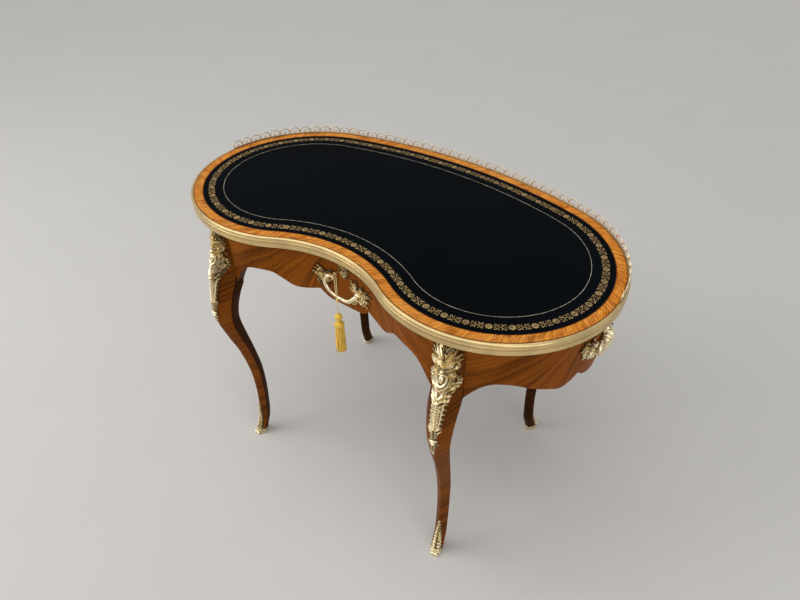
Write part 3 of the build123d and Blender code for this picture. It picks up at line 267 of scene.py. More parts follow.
def leg_surface(run):
    """Surface over a leg's two outer faces, from millimetres aside, height and relief to a point."""
    outward, along = EDGE.directions(run)
    middle = EDGE.place(run, 0, 0)

    def lay(aside, height, relief):
        aside, height, relief = aside * MM, height * MM, relief * MM
        arris, half, side = leg_sizes(height)[:3]
        slope = (side - arris) / half
        lean = min(abs(aside) / ARRIS_REACH, 1)
        rounding = ARRIS_ROUNDING * (1 - lean) ** 2
        out = arris + slope * abs(aside) - rounding
        if height > UNDERSIDE - APRON_DEPTH:
            out = max(out, -APRON_INSET)
        normal = Vector((-slope * lean * math.copysign(1, aside), 1)).normalized()
        sideways = aside + normal.x * relief
        return middle + along * sideways + outward * (out + normal.y * relief) + Vector((0, 0, height))

    return lay


def wall_surface(run):
    """Surface of an apron or the drawer front, from millimetres aside, height and relief to a point."""

    def lay(aside, height, relief):
        return EDGE.place(run + aside * MM, relief * MM - APRON_INSET, height * MM)

    return lay


def leather_surface(run, inset, stretch):
    """Surface of the leather, from millimetres along, inwards and relief; stretch is run over distance."""

    def lay(along, inwards, relief):
        height = LEATHER_HIGH.z + max(relief * MM, -GILT_SINK)
        return EDGE.place(run + along * stretch * MM, -inset - inwards * MM, height)

    return lay


# Making meshes
SAME_PLACE = 1e-6


def deselect():
    """Leave nothing selected."""
    if bpy.context.object and bpy.context.object.mode != "OBJECT":
        bpy.ops.object.mode_set(mode="OBJECT")
    bpy.ops.object.select_all(action="DESELECT")


def select_only(piece):
    """Select one piece and make it active."""
    deselect()
    piece.select_set(True)
    bpy.context.view_layer.objects.active = piece


def tidy(piece, fill=True):
    """Merge doubles, close open ends and turn the faces outwards."""
    select_only(piece)
    bpy.ops.object.mode_set(mode="EDIT")
    bpy.ops.mesh.select_all(action="SELECT")
    bpy.ops.mesh.remove_doubles(threshold=SAME_PLACE)
    if fill:
        bpy.ops.mesh.select_all(action="DESELECT")
        bpy.ops.mesh.select_non_manifold(extend=False)
        bpy.ops.mesh.fill_holes(sides=0)
    bpy.ops.mesh.select_all(action="SELECT")
    bpy.ops.mesh.normals_make_consistent(inside=False)
    bpy.ops.object.mode_set(mode="OBJECT")


def grid(name, columns, rows, spot, grain, fill=True, tone=None):
    """Grid whose corners go to spot(column, row), with its grain map and tones from the same numbers."""
    deselect()
    bpy.ops.mesh.primitive_grid_add(x_subdivisions=columns, y_subdivisions=rows, size=1)
    piece = bpy.context.object
    piece.name = name
    mesh = piece.data
    numbers = [(round((v.co.x + 0.5) * columns), round((v.co.y + 0.5) * rows)) for v in mesh.vertices]
    layer = mesh.uv_layers[0]
    layer.name = "grain"
    for loop in mesh.loops:
        layer.data[loop.index].uv = grain(*numbers[loop.vertex_index])
    for vertex, number in zip(mesh.vertices, numbers):
        vertex.co = spot(*number)
    if tone:
        tones = [tone(*number) for number in numbers]
        mesh.attributes.new("tone", "FLOAT", "POINT").data.foreach_set("value", tones)
    tidy(piece, fill)
    return piece


def settle(piece, material, body, replaced=(), angle=35):
    """Give a piece its material and body, and smooth its corners up to an angle in degrees."""
    select_only(piece)
    bpy.ops.object.shade_smooth_by_angle(angle=math.radians(angle))
    piece.data.materials.clear()
    piece.data.materials.append(material)
    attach(piece, body)
    if replaced:
        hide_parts(*replaced)
    deselect()
    return piece


def joined(pieces, name):
    """One piece from several."""
    deselect()
    for piece in pieces:
        piece.select_set(True)
    bpy.context.view_layer.objects.active = pieces[0]
    if len(pieces) > 1:
        bpy.ops.object.join()
    piece = bpy.context.object
    piece.name = name
    return piece


def apply_modifiers(piece):
    """Apply every modifier of a piece."""
    select_only(piece)
    for modifier in list(piece.modifiers):
        bpy.ops.object.modifier_apply(modifier=modifier.name)


# Cast ornament. Cross sections of a rib, as place across and height, both as shares. A foot has no height and
# is sunk into the surface
SECTIONS = {
    "round": ((-1, None), (-0.88, 0.5), (-0.5, 0.88), (0, 1), (0.5, 0.88), (0.88, 0.5), (1, None)),
    "leaf": (
        (-1, None), (-0.93, 0.45), (-0.62, 0.95), (-0.25, 0.36), (0, 0.85), (0.25, 0.36), (0.62, 0.95),
        (0.93, 0.45), (1, None)),
    "channel": (
        (-1, None), (-0.92, 0.8), (-0.66, 1), (-0.38, 0.5), (0.38, 0.5), (0.66, 1), (0.92, 0.8), (1, None)),
    "plate": ((-1, None), (-0.96, 0.8), (0, 1), (0.96, 0.8), (1, None)),
}


class Relief:
    """Cast ornament made of closed ribs, leaves and beads laid on a surface, in millimetres."""

    SINK = 1.0
    # Height at which a rib's painted highlight reaches full brightness
    BRIGHT_HEIGHT = 7
    FINGER_BEND = 0.55

    def __init__(self, lay):
        self.lay = lay
        self.side = 1
        self.points = []
        self.faces = []
        self.tones = []

    def add(self, aside, height, relief, tone):
        """Add one point with its tone of painted light, from 0 for painted shade in a recess to 1 for painted
        highlight on a crest.
        """
        self.points.append(self.lay(self.side * aside, height, relief))
        self.tones.append(tone)

    def close(self, first, count, stations, looped=False):
        """Faces of a closed tube of rings, with its ends filled unless it is a loop."""
        total = stations + 1
        for ring in range(stations if not looped else total):
            for step in range(count):
                after = (step + 1) % count
                low, high = first + ring * count, first + (ring + 1) % total * count
                self.faces.append((low + step, low + after, high + after, high + step))
        if not looped:
            self.faces.append(tuple(first + step for step in reversed(range(count))))
            last = first + stations * count
            self.faces.append(tuple(last + step for step in range(count)))

    def rib(self, path, widths, heights, section="round", lobes=0, stations=0, base=0, looped=False,
            shine=1.0):
        """Rib or leaf along a path, from tables of its half widths and heights."""
        profile = SECTIONS[section]
        stations = stations or max(6 * (len(path) - 1), 5 * lobes)
        line = smooth_line(path, stations)
        if looped:
            stations -= 1
            line = line[:-1]
        first = len(self.points)
        for index, spot in enumerate(line):
            share = index / stations
            if looped:
                ahead, behind = line[(index + 1) % len(line)], line[index - 1]
            else:
                ahead, behind = line[min(index + 1, stations)], line[max(index - 1, 0)]
            across = Vector((-(ahead - behind).y, (ahead - behind).x)).normalized()
            width, height = from_table(widths, share), from_table(heights, share)
            if lobes:
                wave = (share * lobes) % 1 if share < 1 else 0
                swell = math.sin(math.pi * wave**0.7)
                width *= mixed(0.55, 1, swell)
                height *= mixed(0.72, 1, swell)
            for place, rise in profile:
                spread = place * width
                relief, tone = -self.SINK, 0
                if rise is not None:
                    relief = base + height * rise
                    # Painted highlight, brighter the higher the rib stands, scaled by shine; the sunk foot
                    # keeps tone 0 as painted shade
                    tone = shine * min(rise * mixed(0.35, 1, relief / self.BRIGHT_HEIGHT), 1)
                    # Painted shade in the dips between lobes
                    if lobes:
                        tone *= mixed(0.55, 1, swell)
                self.add(spot.x + across.x * spread, spot.y + across.y * spread, relief, tone)
        self.close(first, len(profile), stations, looped)

    def bead(self, aside, height, radius, rise, base=0, stretch=1, sides=10):
        """Round or oval boss, from rings of its reach and lift as shares."""
        first = len(self.points)
        rings = ((1, None), (0.94, 0.35), (0.7, 0.74), (0.32, 0.96))
        for reach, lift in rings:
            relief = -self.SINK if lift is None else base + lift * rise
            # Painted shade at the sunk foot of a boss, painted highlight towards its top
            tone = 0 if lift is None else mixed(0.45, 1, lift)
            for step in range(sides):
                turn = math.tau * step / sides
                self.add(aside + radius * reach * math.cos(turn),
                         height + stretch * radius * reach * math.sin(turn), relief, tone)
        self.close(first, sides, len(rings) - 1)

    def fan(self, centre, angles, lengths, width, rise, bend=0, section="round"):
        """Fingers that spread from a centre, by angles from upright in degrees."""
        for angle, length in zip(angles, lengths):
            turn = math.radians(angle)
            far = math.radians(angle * (1 + bend))
            lower = self.FINGER_BEND * length
            upper = length - lower
            middle = (centre[0] + lower * math.sin(turn), centre[1] + lower * math.cos(turn))
            tip = (middle[0] + upper * math.sin(far), middle[1] + upper * math.cos(far))
            self.rib([centre, middle, tip], (0.5 * width, width, 0.85 * width, 0.25 * width),
                     (0.75 * rise, rise, 0.8 * rise), section, stations=8)

    def grains(self, low, high, half, count, radius, rise, seed=3):
        """Small bosses scattered between two heights, within a table of half widths."""
        draw = random.Random(seed)
        for number in range(count):
            share = (number + draw.random()) / count
            self.bead(from_table(half, share) * draw.uniform(-1, 1), mixed(low, high, share),
                      radius * draw.uniform(0.7, 1.2), rise * draw.uniform(0.8, 1.1), sides=6)

    def both(self, method, *args, **named):
        """Do the same on both sides."""
        for side in (1, -1):
            self.side = side
            method(*args, **named)
        self.side = 1

    def tube(self, line, radii, sides=10, tone=0.8, looped=False):
        """Round tube through points in space, which needs no surface."""
        first = len(self.points)
        count = len(line)
        normal = None
        for index, spot in enumerate(line):
            if looped:
                direction = (line[(index + 1) % count] - line[index - 1]).normalized()
            else:
                direction = (line[min(index + 1, count - 1)] - line[max(index - 1, 0)]).normalized()
            if normal is None:
                normal = direction.orthogonal().normalized()
            normal = (normal - direction * normal.dot(direction)).normalized()
            other = direction.cross(normal)
            radius = from_table(radii, index / (count - 1))
            for step in range(sides):
                turn = math.tau * step / sides
                self.points.append(spot + (normal * math.cos(turn) + other * math.sin(turn)) * radius)
                self.tones.append(tone)
        self.close(first, sides, count - 1, looped)

    def piece(self, name):
        """Object made of everything added."""
        mesh = bpy.data.meshes.new(name)
        mesh.from_pydata(self.points, [], self.faces)
        mesh.attributes.new("tone", "FLOAT", "POINT").data.foreach_set("value", self.tones)
        made = bpy.data.objects.new(name, mesh)
        bpy.context.collection.objects.link(made)
        select_only(made)
        bpy.ops.object.mode_set(mode="EDIT")
        bpy.ops.mesh.select_all(action="SELECT")
        bpy.ops.mesh.normals_make_consistent(inside=False)
        bpy.ops.object.mode_set(mode="OBJECT")
        return made


# Shader sums
class Wire:
    """Output of a shader node that takes part in sums."""

    def __init__(self, nodes, socket):
        self.nodes = nodes
        self.socket = socket

    def math(self, operation, first, second):
        """Math node on two values."""
        return self.nodes.node("Math", {"operation": operation}, {0: first, 1: second})

    def __add__(self, other):
        return self.math("ADD", self, other)

    def __sub__(self, other):
        return self.math("SUBTRACT", self, other)

    def __rsub__(self, other):
        return self.math("SUBTRACT", other, self)

    def __mul__(self, other):
        return self.math("MULTIPLY", self, other)

    __radd__ = __add__
    __rmul__ = __mul__

    def ramp(self, low, high):
        """Share of the way from one value to another, kept between 0 and 1."""
        sockets = {0: self, 1: low, 2: high, 3: 0.0, 4: 1.0}
        return self.nodes.node("MapRange", {"clamp": True, "interpolation_type": "SMOOTHSTEP"}, sockets)

    def other(self, name):
        """Another output of the same node."""
        return Wire(self.nodes, self.socket.node.outputs[name])


class Nodes:
    """Nodes of a material or of the surroundings, with the shader that they feed."""

    def __init__(self, tree, shader):
        self.tree = tree
        self.shader = shader

    def node(self, kind, settings=None, sockets=None, output=0):
        """One node with its settings, values and links."""
        made = self.tree.nodes.new("ShaderNode" + kind)
        for key, value in (settings or {}).items():
            setattr(made, key, value)
        for key, value in (sockets or {}).items():
            self.feed(made.inputs[key], value)
        return Wire(self, made.outputs[output])

    def feed(self, socket, value):
        """Give a socket a value or a link."""
        if isinstance(value, Wire):
            self.tree.links.new(value.socket, socket)
        else:
            socket.default_value = value

    def set(self, **sockets):
        """Feed the shader's sockets."""
        for key, value in sockets.items():
            self.feed(self.shader.inputs[key.replace("_", " ")], value)

    def mix(self, factor, first, second):
        """Mix of two colours."""
        return self.node("Mix", {"data_type": "RGBA"}, {0: factor, 6: first, 7: second}, 2)

    def place(self):
        """Place on the object."""
        return self.node("TexCoord").other("Object")

    def grain(self):
        """Across and along the grain, in metres, from the piece's own map."""
        across = self.node("SeparateXYZ", None, {0: self.node("UVMap", {"uv_map": "grain"})})
        return across, across.other("Y")

    def tone(self):
        """Tone of the piece's points, which carries painted light: 0 for painted shade in a recess or a
        shaded place, 1 for painted highlight on a crest.
        """
        return self.node("Attribute", {"attribute_name": "tone"}, None, "Fac")

    def vector(self, x, y, z=0.0):
        """Vector from its values."""
        return self.node("CombineXYZ", None, {0: x, 1: y, 2: z})

    def noise(self, vector, scale=1.0, detail=3.0, roughness=0.55):
        """Noise from 0 to 1."""
        sockets = {"Vector": vector, "Scale": scale, "Detail": detail, "Roughness": roughness}
        return self.node("TexNoise", None, sockets)

    def cells(self, vector, scale):
        """Distance from the middles of a cell pattern."""
        return self.node("TexVoronoi", None, {"Vector": vector, "Scale": scale}).other("Distance")

    def bump(self, height, strength):
        """Fine bump that feeds the shader's normal."""
        sockets = {"Height": height, "Strength": strength, "Distance": FINE_BUMP}
        self.set(Normal=self.node("Bump", None, sockets))


FINE_BUMP = 0.0003


class Paint(Nodes):
    """Material with one shader."""

    def __init__(self, name, **values):
        self.material = bpy.data.materials.new(name)
        self.material.use_nodes = True
        tree = self.material.node_tree
        tree.nodes.clear()
        output = tree.nodes.new("ShaderNodeOutputMaterial")
        super().__init__(tree, tree.nodes.new("ShaderNodeBsdfPrincipled"))
        tree.links.new(self.shader.outputs[0], output.inputs[0])
        self.set(**values)


class Surroundings(Nodes):
    """World with one background shader."""

    def __init__(self, name):
        self.world = bpy.data.worlds.new(name)
        self.world.use_nodes = True
        tree = self.world.node_tree
        super().__init__(tree, tree.nodes["Background"])


# Colours and sizes
def rgb(red, green, blue):
    """Linear colour from a screen colour of 0 to 255."""
    def linear(value):
        value /= 255
        return value / 12.92 if value <= 0.04045 else ((value + 0.055) / 1.055) ** 2.4
    return (linear(red), linear(green), linear(blue), 1)


def toned(colour, share):
    """Darker or paler copy of a colour."""
    return tuple(min(value * share, 1) for value in colour[:3]) + (1,)


def colour_setting(name, about, value):
    """Colour property with a default."""
    return bpy.props.FloatVectorProperty(
        name=name, description=about, subtype="COLOR", size=4, min=0, max=1, default=value)


def size_setting(name, about, value):
    """Length property with a default in metres."""
    return bpy.props.FloatProperty(
        name=name, description=about, subtype="DISTANCE", unit="LENGTH", min=0, precision=4, default=value)


class DeskColours(bpy.types.PropertyGroup):
    """Colours of the desk."""

    veneer_light: colour_setting("Veneer light", "Pale streaks of the kingwood veneer", rgb(172, 96, 22))
    veneer_middle: colour_setting("Veneer middle", "Ground of the kingwood veneer", rgb(126, 66, 8))
    veneer_dark: colour_setting("Veneer dark", "Dark streaks of the kingwood veneer", rgb(56, 24, 3))
    band_light: colour_setting("Band light", "Pale streaks of the crossbanding", rgb(255, 186, 92))
    band_middle: colour_setting("Band middle", "Ground of the crossbanding", rgb(240, 143, 38))
    band_dark: colour_setting("Band dark", "Flecks of the crossbanding", rgb(128, 56, 12))
    carcase: colour_setting("Carcase", "Plain wood out of sight", rgb(168, 122, 74))
    leather: colour_setting("Leather", "Writing leather", rgb(5, 8, 11))
    tooling: colour_setting("Tooling", "Gilt tooling of the leather", rgb(226, 188, 122))
    line: colour_setting("Gold line", "Thin gold line of the leather", rgb(232, 222, 194))
    brass: colour_setting("Brass", "Edge moulding", rgb(222, 194, 136))
    # Gilt is painted highlight on the mounts' crests and gilt recess is painted shade in their recesses; gilt
    # is also the plain colour of the frame's own mounts
    gilt: colour_setting("Gilt", "Crests of the cast mounts", rgb(240, 224, 184))
    gilt_recess: colour_setting("Gilt recess", "Recesses of the cast mounts", rgb(100, 76, 42))
    steel: colour_setting("Steel", "Lock and screws", rgb(150, 146, 138))
    cord: colour_setting("Cord", "Twisted cord of the tassel", rgb(244, 220, 150))
    silk: colour_setting("Silk", "Threads of the tassel", rgb(255, 208, 74))


class DeskSizes(bpy.types.PropertyGroup):
    """Sizes of the desk's small patterns."""

    tooling_inset: size_setting("Tooling inset", "From the wooden edge to the tooled band's middle", 0.0428)
    tooling_pitch: size_setting("Tooling pitch", "Length of one rosette with its scrolls", 0.0425)
    line_inset: size_setting("Line inset", "From the wooden edge to the thin gold line", 0.0716)
    line_width: size_setting("Line width", "Width of the thin gold line", 0.0010)
    hoop_pitch: size_setting("Hoop pitch", "Length of one hoop of the gallery", 0.028)
    cord_radius: size_setting("Cord radius", "Half the thickness of the tassel's cord", 0.0011)


def colours():
    """Colours of this scene."""
    return bpy.context.scene.desk_colours


def sizes():
    """Sizes of this scene."""
    return bpy.context.scene.desk_sizes


# Finishes
class Wood(Paint):
    """Figured wood, built up in layers of its light, middle and dark tones."""

    def __init__(self, name, tones, places, bands, hairs, gloss):
        super().__init__(name, Coat_Weight=gloss, Coat_Roughness=0.14, IOR=1.5, Specular_IOR_Level=0.04)
        self.light, self.middle, self.dark = (tuple(tone) for tone in tones)
        across, along = self.across, self.along = places(self)
        wander = self.noise(self.vector(across * 9.0, along * 6.0), detail=3.0)
        bent = across + (wander - 0.5) * 0.034
        band = self.noise(self.vector(bent * bands, along * 3.0, 0.3), detail=5.0, roughness=0.66)
        self.hair = self.noise(self.vector(bent * hairs, along * 9.0, 0.7), detail=3.0, roughness=0.6)
        streak = self.noise(self.vector(bent * bands * 2.6, along * 5.0, 0.9), detail=3.0)
        self.pore = self.noise(self.vector(across * 2600.0, along * 160.0), detail=1.0)
        cloud = self.noise(self.vector(across * 7.0, along * 6.0, 0.5), detail=1.0)
        self.colour = self.mix(band.ramp(0.34, 0.64), self.dark, self.light)
        self.layer(0.5, self.middle)
        self.layer(streak.ramp(0.52, 0.72) * 0.45, self.dark)
        self.layer(self.hair.ramp(0.46, 0.72) * 0.42, self.dark)
        self.layer(self.pore.ramp(0.56, 0.70) * 0.35, self.dark)
        self.layer(cloud.ramp(0.35, 0.7) * 0.3, self.light)

    def layer(self, amount, tone):
        """Lay a tone over the layers so far."""
        self.colour = self.mix(amount, self.colour, tone)

    def paint_shade(self):
        """Painted shade: darken the wood where the piece's tone is 0."""
        # Painted shade, a darker copy of the dark tone
        self.layer(0.8 - 0.8 * self.tone().ramp(0.88, 0.98), toned(self.dark, 0.4))

    def finished(self):
        """Material with the layers so far and fine open pores."""
        self.set(Base_Color=self.colour, Roughness=0.34 + 0.14 * self.hair)
        self.bump(self.pore, 0.06)
        return self.material


def kingwood(name="kingwood", depth=1.0, shaded=False):
    """Kingwood veneer, deeper in tone where its depth is under 1, with painted shade where the piece's tone
    is 0 if shaded.
    """
    c = colours()
    tones = [toned(tone, depth) for tone in (c.veneer_light, c.veneer_middle, c.veneer_dark)]
    veneer = Wood(name, tones, Paint.grain, 78.0, 460.0, 0.01)
    if shaded:
        veneer.paint_shade()
    return veneer.finished()


def apron_veneer():
    """Kingwood of the aprons and the drawer front, with painted shade on the undersides of their lower edges.
    """
    return kingwood("kingwood_aprons", shaded=True)


def leg_veneer():
    """Deeper kingwood of the legs, with painted shade on their inner faces and on the backs of their heads.
    """
    return kingwood("kingwood_legs", 0.72, shaded=True)


def tulipwood():
    """Crossbanding, its grain across the band, with dark flecks, painted shadow of the moulding's lip along
    its outer edge, and a dark line along its inner edge.
    """
    c = colours()

    def slanted(paint):
        across, along = paint.grain()
        return across + along * 0.55, along

    veneer = Wood("tulipwood", (c.band_light, c.band_middle, c.band_dark), slanted, 150.0, 420.0, 0.03)
    across, along = veneer.across, veneer.along
    fleck = veneer.noise(veneer.vector((across + along * 0.8) * 420.0, along * 70.0, 0.2), detail=2.0)
    mottle = veneer.noise(veneer.vector(across * 55.0, along * 55.0, 0.6), detail=3.0)
    patch = veneer.noise(veneer.vector(across * 24.0, along * 30.0, 0.8), detail=3.0, roughness=0.6)
    veneer.layer(veneer.hair.ramp(0.44, 0.66) * 0.4, veneer.dark)
    veneer.layer(mottle.ramp(0.3, 0.7) * 0.4, veneer.middle)
    veneer.layer(patch.ramp(0.5, 0.68) * 0.55, veneer.dark)
    veneer.layer(mottle.ramp(0.56, 0.74) * 0.6, veneer.light)
    veneer.layer(fleck.ramp(0.56, 0.66) * 0.9, veneer.dark)
    # Painted shadow of the moulding's lip along the outer edge, and a dark line along the inner edge
    inset = along * -1.0
    line = inset.ramp(0.0026, 0.0016) + inset.ramp(BAND_WIDTH - 0.0022, BAND_WIDTH - 0.0012)
    veneer.layer(line * 0.8, toned(veneer.dark, 0.35))
    return veneer.finished()


def carcase_wood():
    """Plain wood of the drawer's inside, the guides and the underside."""
    def lengthwise(paint):
        x = paint.node("SeparateXYZ", None, {0: paint.place()})
        return x.other("Y") + x.other("Z") * 0.6, x

    tone = colours().carcase
    plain = Wood("carcase_wood", (toned(tone, 1.3), tone, toned(tone, 0.45)), lengthwise, 60.0, 500.0, 0.0)
    return plain.finished()


def leather():
    """Black writing leather with a fine grain."""
    paint = Paint("leather", IOR=1.45, Specular_IOR_Level=0.02)
    place = paint.place()
    grain = paint.cells(place, 900.0)
    soft = paint.noise(place, 60.0, 4.0)
    wide = paint.noise(place, 5.0, 2.0)
    ground = colours().leather[:]
    paint.set(Base_Color=paint.mix(wide.ramp(0.35, 0.7) * 0.5, ground, toned(ground, 1.7)),
              Roughness=0.58 + 0.12 * soft - 0.06 * grain)
    paint.bump(grain * 0.7 + soft * 0.3, 0.22)
    return paint.material


def metal(name, bright, dark, roughness, shine=1.0, cast=False):
    """Metal with soft wear; where it is cast, painted shade in its recesses and painted highlight on its
    crests, from the piece's tone.
    """
    paint = Paint(name, Metallic=shine)
    place = paint.place()
    broad = paint.noise(place, 22.0, 2.0)
    if cast:
        fine = paint.noise(place, 420.0, 4.0, 0.6)
        # Painted shade in the recesses and painted highlight on the crests, from the piece's tone
        colour = paint.mix((paint.tone() + (fine - 0.5) * 0.25).ramp(0.08, 0.66), dark, bright)
        paint.bump(fine, 0.06)
    else:
        colour = paint.mix(broad.ramp(0.3, 0.7), dark, bright)
    paint.set(Base_Color=colour, Roughness=roughness + 0.08 * broad)
    return paint.material


def brass():
    """Polished brass of the edge moulding."""
    tone = colours().brass[:]
    return metal("brass", tone, toned(tone, 0.8), 0.24, 0.75)


def gallery_brass():
    """Brass of the gallery, with painted shade near its rail and painted highlight towards its top."""
    c = colours()
    return metal("gallery_brass", c.gilt[:], c.gilt_recess[:], 0.24, 0.7, cast=True)


def gilt_bronze():
    """Gilding of the cast mounts, with painted shade in the recesses and painted highlight on the crests."""
    c = colours()
    return metal("gilt_bronze", c.gilt[:], c.gilt_recess[:], 0.2, 0.86, cast=True)


def smooth_gilt():
    """Gilding of the frame's own mounts."""
    tone = colours().gilt[:]
    return metal("smooth_gilt", tone, toned(tone, 0.6), 0.18)


def steel():
    """Plain steel of the lock and screws."""
    tone = colours().steel[:]
    return metal("steel", tone, toned(tone, 0.5), 0.34)


def gold_leaf(name, tone):
    """Worn gold leaf pressed into the leather."""
    paint = Paint(name, Metallic=0.6)
    place = paint.place()
    fleck = paint.noise(place, 900.0, 3.0)
    wear = paint.noise(place, 90.0, 3.0)
    worn = paint.mix(wear.ramp(0.36, 0.56), toned(tone, 0.45), tone)
    paint.set(Base_Color=paint.mix(fleck.ramp(0.38, 0.56), toned(tone, 0.3), worn),
              Roughness=0.42 + 0.2 * fleck)
    return paint.material


def tooling_gold():
    """Gold of the tooled band."""
    return gold_leaf("tooling_gold", colours().tooling[:])


def line_gold():
    """Gold of the thin line."""
    return gold_leaf("line_gold", colours().line[:])


def shadow():
    """Painted shadow inside the keyhole: a dark sheet where there is only shade, faintly speckled."""
    paint = Paint("shadow", Specular_IOR_Level=0.1)
    shadow_speckle = paint.noise(paint.place(), 300.0)
    paint.set(Base_Color=paint.mix(shadow_speckle, (0.004, 0.003, 0.002, 1), (0.012, 0.009, 0.006, 1)),
              Roughness=0.8 + 0.1 * shadow_speckle)
    return paint.material


def silk(name, tone, shade, turns, scale, loose=False):
    """Silk banded by its winding, with painted shade in the grooves between its windings and, where the
    threads hang loose, painted shade between them.
    """
    paint = Paint(name, Sheen_Weight=0.25, Sheen_Roughness=0.4, IOR=1.5)
    winding = paint.node("Mapping", None, {"Vector": paint.place(), "Scale": turns})
    thread = paint.noise(winding, scale, 3.0, 0.6)
    # Painted shade in the grooves of the winding
    depth = thread.ramp(0.25, 0.58)
    if loose:
        # Painted shade between the loose threads, where the tone is low, as on the core
        depth = depth * paint.tone().ramp(0.1, 0.6)
    paint.set(Base_Color=paint.mix(depth, shade, tone), Roughness=0.42 + 0.15 * thread)
    paint.bump(thread, 0.25)
    return paint.material


def silk_cord():
    """Pale silk of the twisted cords."""
    tone = colours().cord[:]
    return silk("silk_cord", tone, toned(tone, 0.4), (1.0, 1.0, 1.0), 900.0)


def silk_bound():
    """Silk wound round the knot, the head and the ruff."""
    tone = colours().silk[:]
    return silk("silk_bound", tone, toned(tone, 0.4), (1.0, 1.0, 3.0), 500.0)


def silk_threads():
    """Silk of the hanging threads, with painted shade between them."""
    tone = colours().silk[:]
    # Deep gold of the painted shade between the threads
    shade = (tone[0] * 0.22, tone[1] * 0.14, tone[2] * 0.06, 1)
    return silk("silk_threads", tone, shade, (1.0, 1.0, 0.08), 420.0, loose=True)


FINISHES = {}


def finish(maker):
    """Material by its maker, made once."""
    if maker not in FINISHES:
        FINISHES[maker] = maker()
    return FINISHES[maker]


# Top
def edging(name, columns, profile, fill=False):
    """Band all round the top, from a profile of places out of the edge and heights."""
    def run_at(column):
        return (2 * column / columns - 1) * EDGE.half

    def spot(column, row):
        return EDGE.place(run_at(column), *profile[row])

    def grain(column, row):
        return run_at(column), profile[row][0]

    return grid(name, columns, len(profile) - 1, spot, grain, fill)


def crossband():
    """Crossbanded border, a flat ring with its grain map along the edge."""
    profile = ((0, BAND_LOW.z), (0, BAND_HIGH.z), (-BAND_WIDTH / 2, BAND_HIGH.z), (-BAND_WIDTH, BAND_HIGH.z),
               (-BAND_WIDTH, BAND_LOW.z), (0, BAND_LOW.z))
    piece = edging("crossband", 520, profile)
    return settle(piece, finish(tulipwood), "root", ["top_crossband"])


def leather_field():
    """Writing leather, a thin sheet with softly rounded edges."""
    level = LEATHER_HIGH.z
    rounding, drop = 0.0004, 0.0003
    profile = [(-BAND_WIDTH, LEATHER_LOW.z), (-BAND_WIDTH, level - drop), (-BAND_WIDTH - rounding, level)]
    profile += [(-inset * MM, level) for inset in (34, 56, 80, 110, 140)]
    piece = edging("writing_leather", 420, profile, fill=True)
    return settle(piece, finish(leather), "root", ["leather_top"])


# Gilding of the leather, with its foot sunk and its face just proud
GILT_SINK = 0.0002
GILT_RISE = 0.00008
FIRST_ROSETTE = 0.011
PETALS = 10
STROKES = (
    (((1.4, 0.9), (4.4, 2.8), (7.2, 5.4), (9.6, 7.2), (11.6, 6), (10.6, 3.9)), (0.4, 0.8, 0.9, 0.7, 0.4), 10),
    (((2.2, 4.4), (3.4, 6.2), (2, 8)), (0.3, 0.9, 0.3), 4),
    (((7.6, 0.9), (9.6, 1.6), (12, 0.8)), (0.3, 0.6, 0.3), 4),
)


def tooling_line():
    """Thin gold line inside the tooled band."""
    inset, half = sizes().line_inset, sizes().line_width / 2
    foot, face = LEATHER_HIGH.z - GILT_SINK, LEATHER_HIGH.z + GILT_RISE
    profile = ((-inset + half, foot), (-inset + half * 0.8, face), (-inset - half * 0.8, face),
               (-inset - half, foot), (-inset + half, foot))
    return settle(edging("gold_line", 420, profile), finish(line_gold), "root")


def tool_motif(relief, middle):
    """Rosette, and the open scrolls between it and the next, in millimetres along and across the band."""
    rise = 0.12
    for petal in range(PETALS):
        turn = math.tau * (petal + 0.5) / PETALS
        path = [(reach * math.cos(turn), reach * math.sin(turn)) for reach in (2.6, 7.4)]
        relief.rib(path, (0.5, 1.3, 1.4, 0.5), rise, "plate", stations=4)
    relief.bead(0, 0, 1.7, 0.14, sides=6)
    relief.bead(middle, 0, 1.2, rise, sides=6)
    for ahead in (1, -1):
        for aside in (1, -1):
            for points, widths, stations in STROKES:
                path = [(middle + ahead * along, aside * across) for along, across in points]
                relief.rib(path, widths, rise, "plate", stations=stations)


def even_runs(inset, pitch, first):
    """Runs of evenly spaced places on a line inside the edge, with run over distance, and their pitch."""
    steps = 1440
    step_run = 2 * EDGE.half / steps
    spots = [EDGE.place(first + step * step_run, -inset, 0) for step in range(steps + 1)]
    spans = [0]
    for start, stop in zip(spots, spots[1:]):
        spans.append(spans[-1] + (stop - start).length)
    count = round(spans[-1] / pitch)
    runs, step = [], 0
    for index in range(count):
        goal = spans[-1] * index / count
        while spans[step + 1] < goal:
            step += 1
        span = spans[step + 1] - spans[step]
        runs.append((first + (step + (goal - spans[step]) / span) * step_run, step_run / span))
    return runs, spans[-1] / count


def tooled_band():
    """Gilt rosettes and scrolls pressed into the leather all round."""
    inset = sizes().tooling_inset
    runs, pitch = even_runs(inset, sizes().tooling_pitch, FIRST_ROSETTE)
    made = Relief(None)
    for run, stretch in runs:
        made.lay = leather_surface(run, inset, stretch)
        tool_motif(made, pitch / MM / 2)
    return settle(made.piece("gilt_tooling"), finish(tooling_gold), "root")


# Section of the moulding, as millimetres out and up
MOULDING_PROFILE = (
    (0, 0), (5.5, 0), (6.1, 0.6), (6.2, 1.6), (6.2, 9.6), (5.8, 10.7), (4.8, 11), (4.6, 11.6), (4.7, 12.7),
    (6.0, 13), (6.7, 13.7), (7, 15.2), (7, 17.4), (6.5, 17.8), (6.5, 18.1), (7, 18.5), (6.95, 20.4),
    (6.5, 22.4), (5.6, 23.9), (4.3, 24.7), (3.2, 25), (2.6, 24.5), (2.2, 24.5), (1.8, 25), (0.5, 25),
    (0, 24.7), (0, 0))


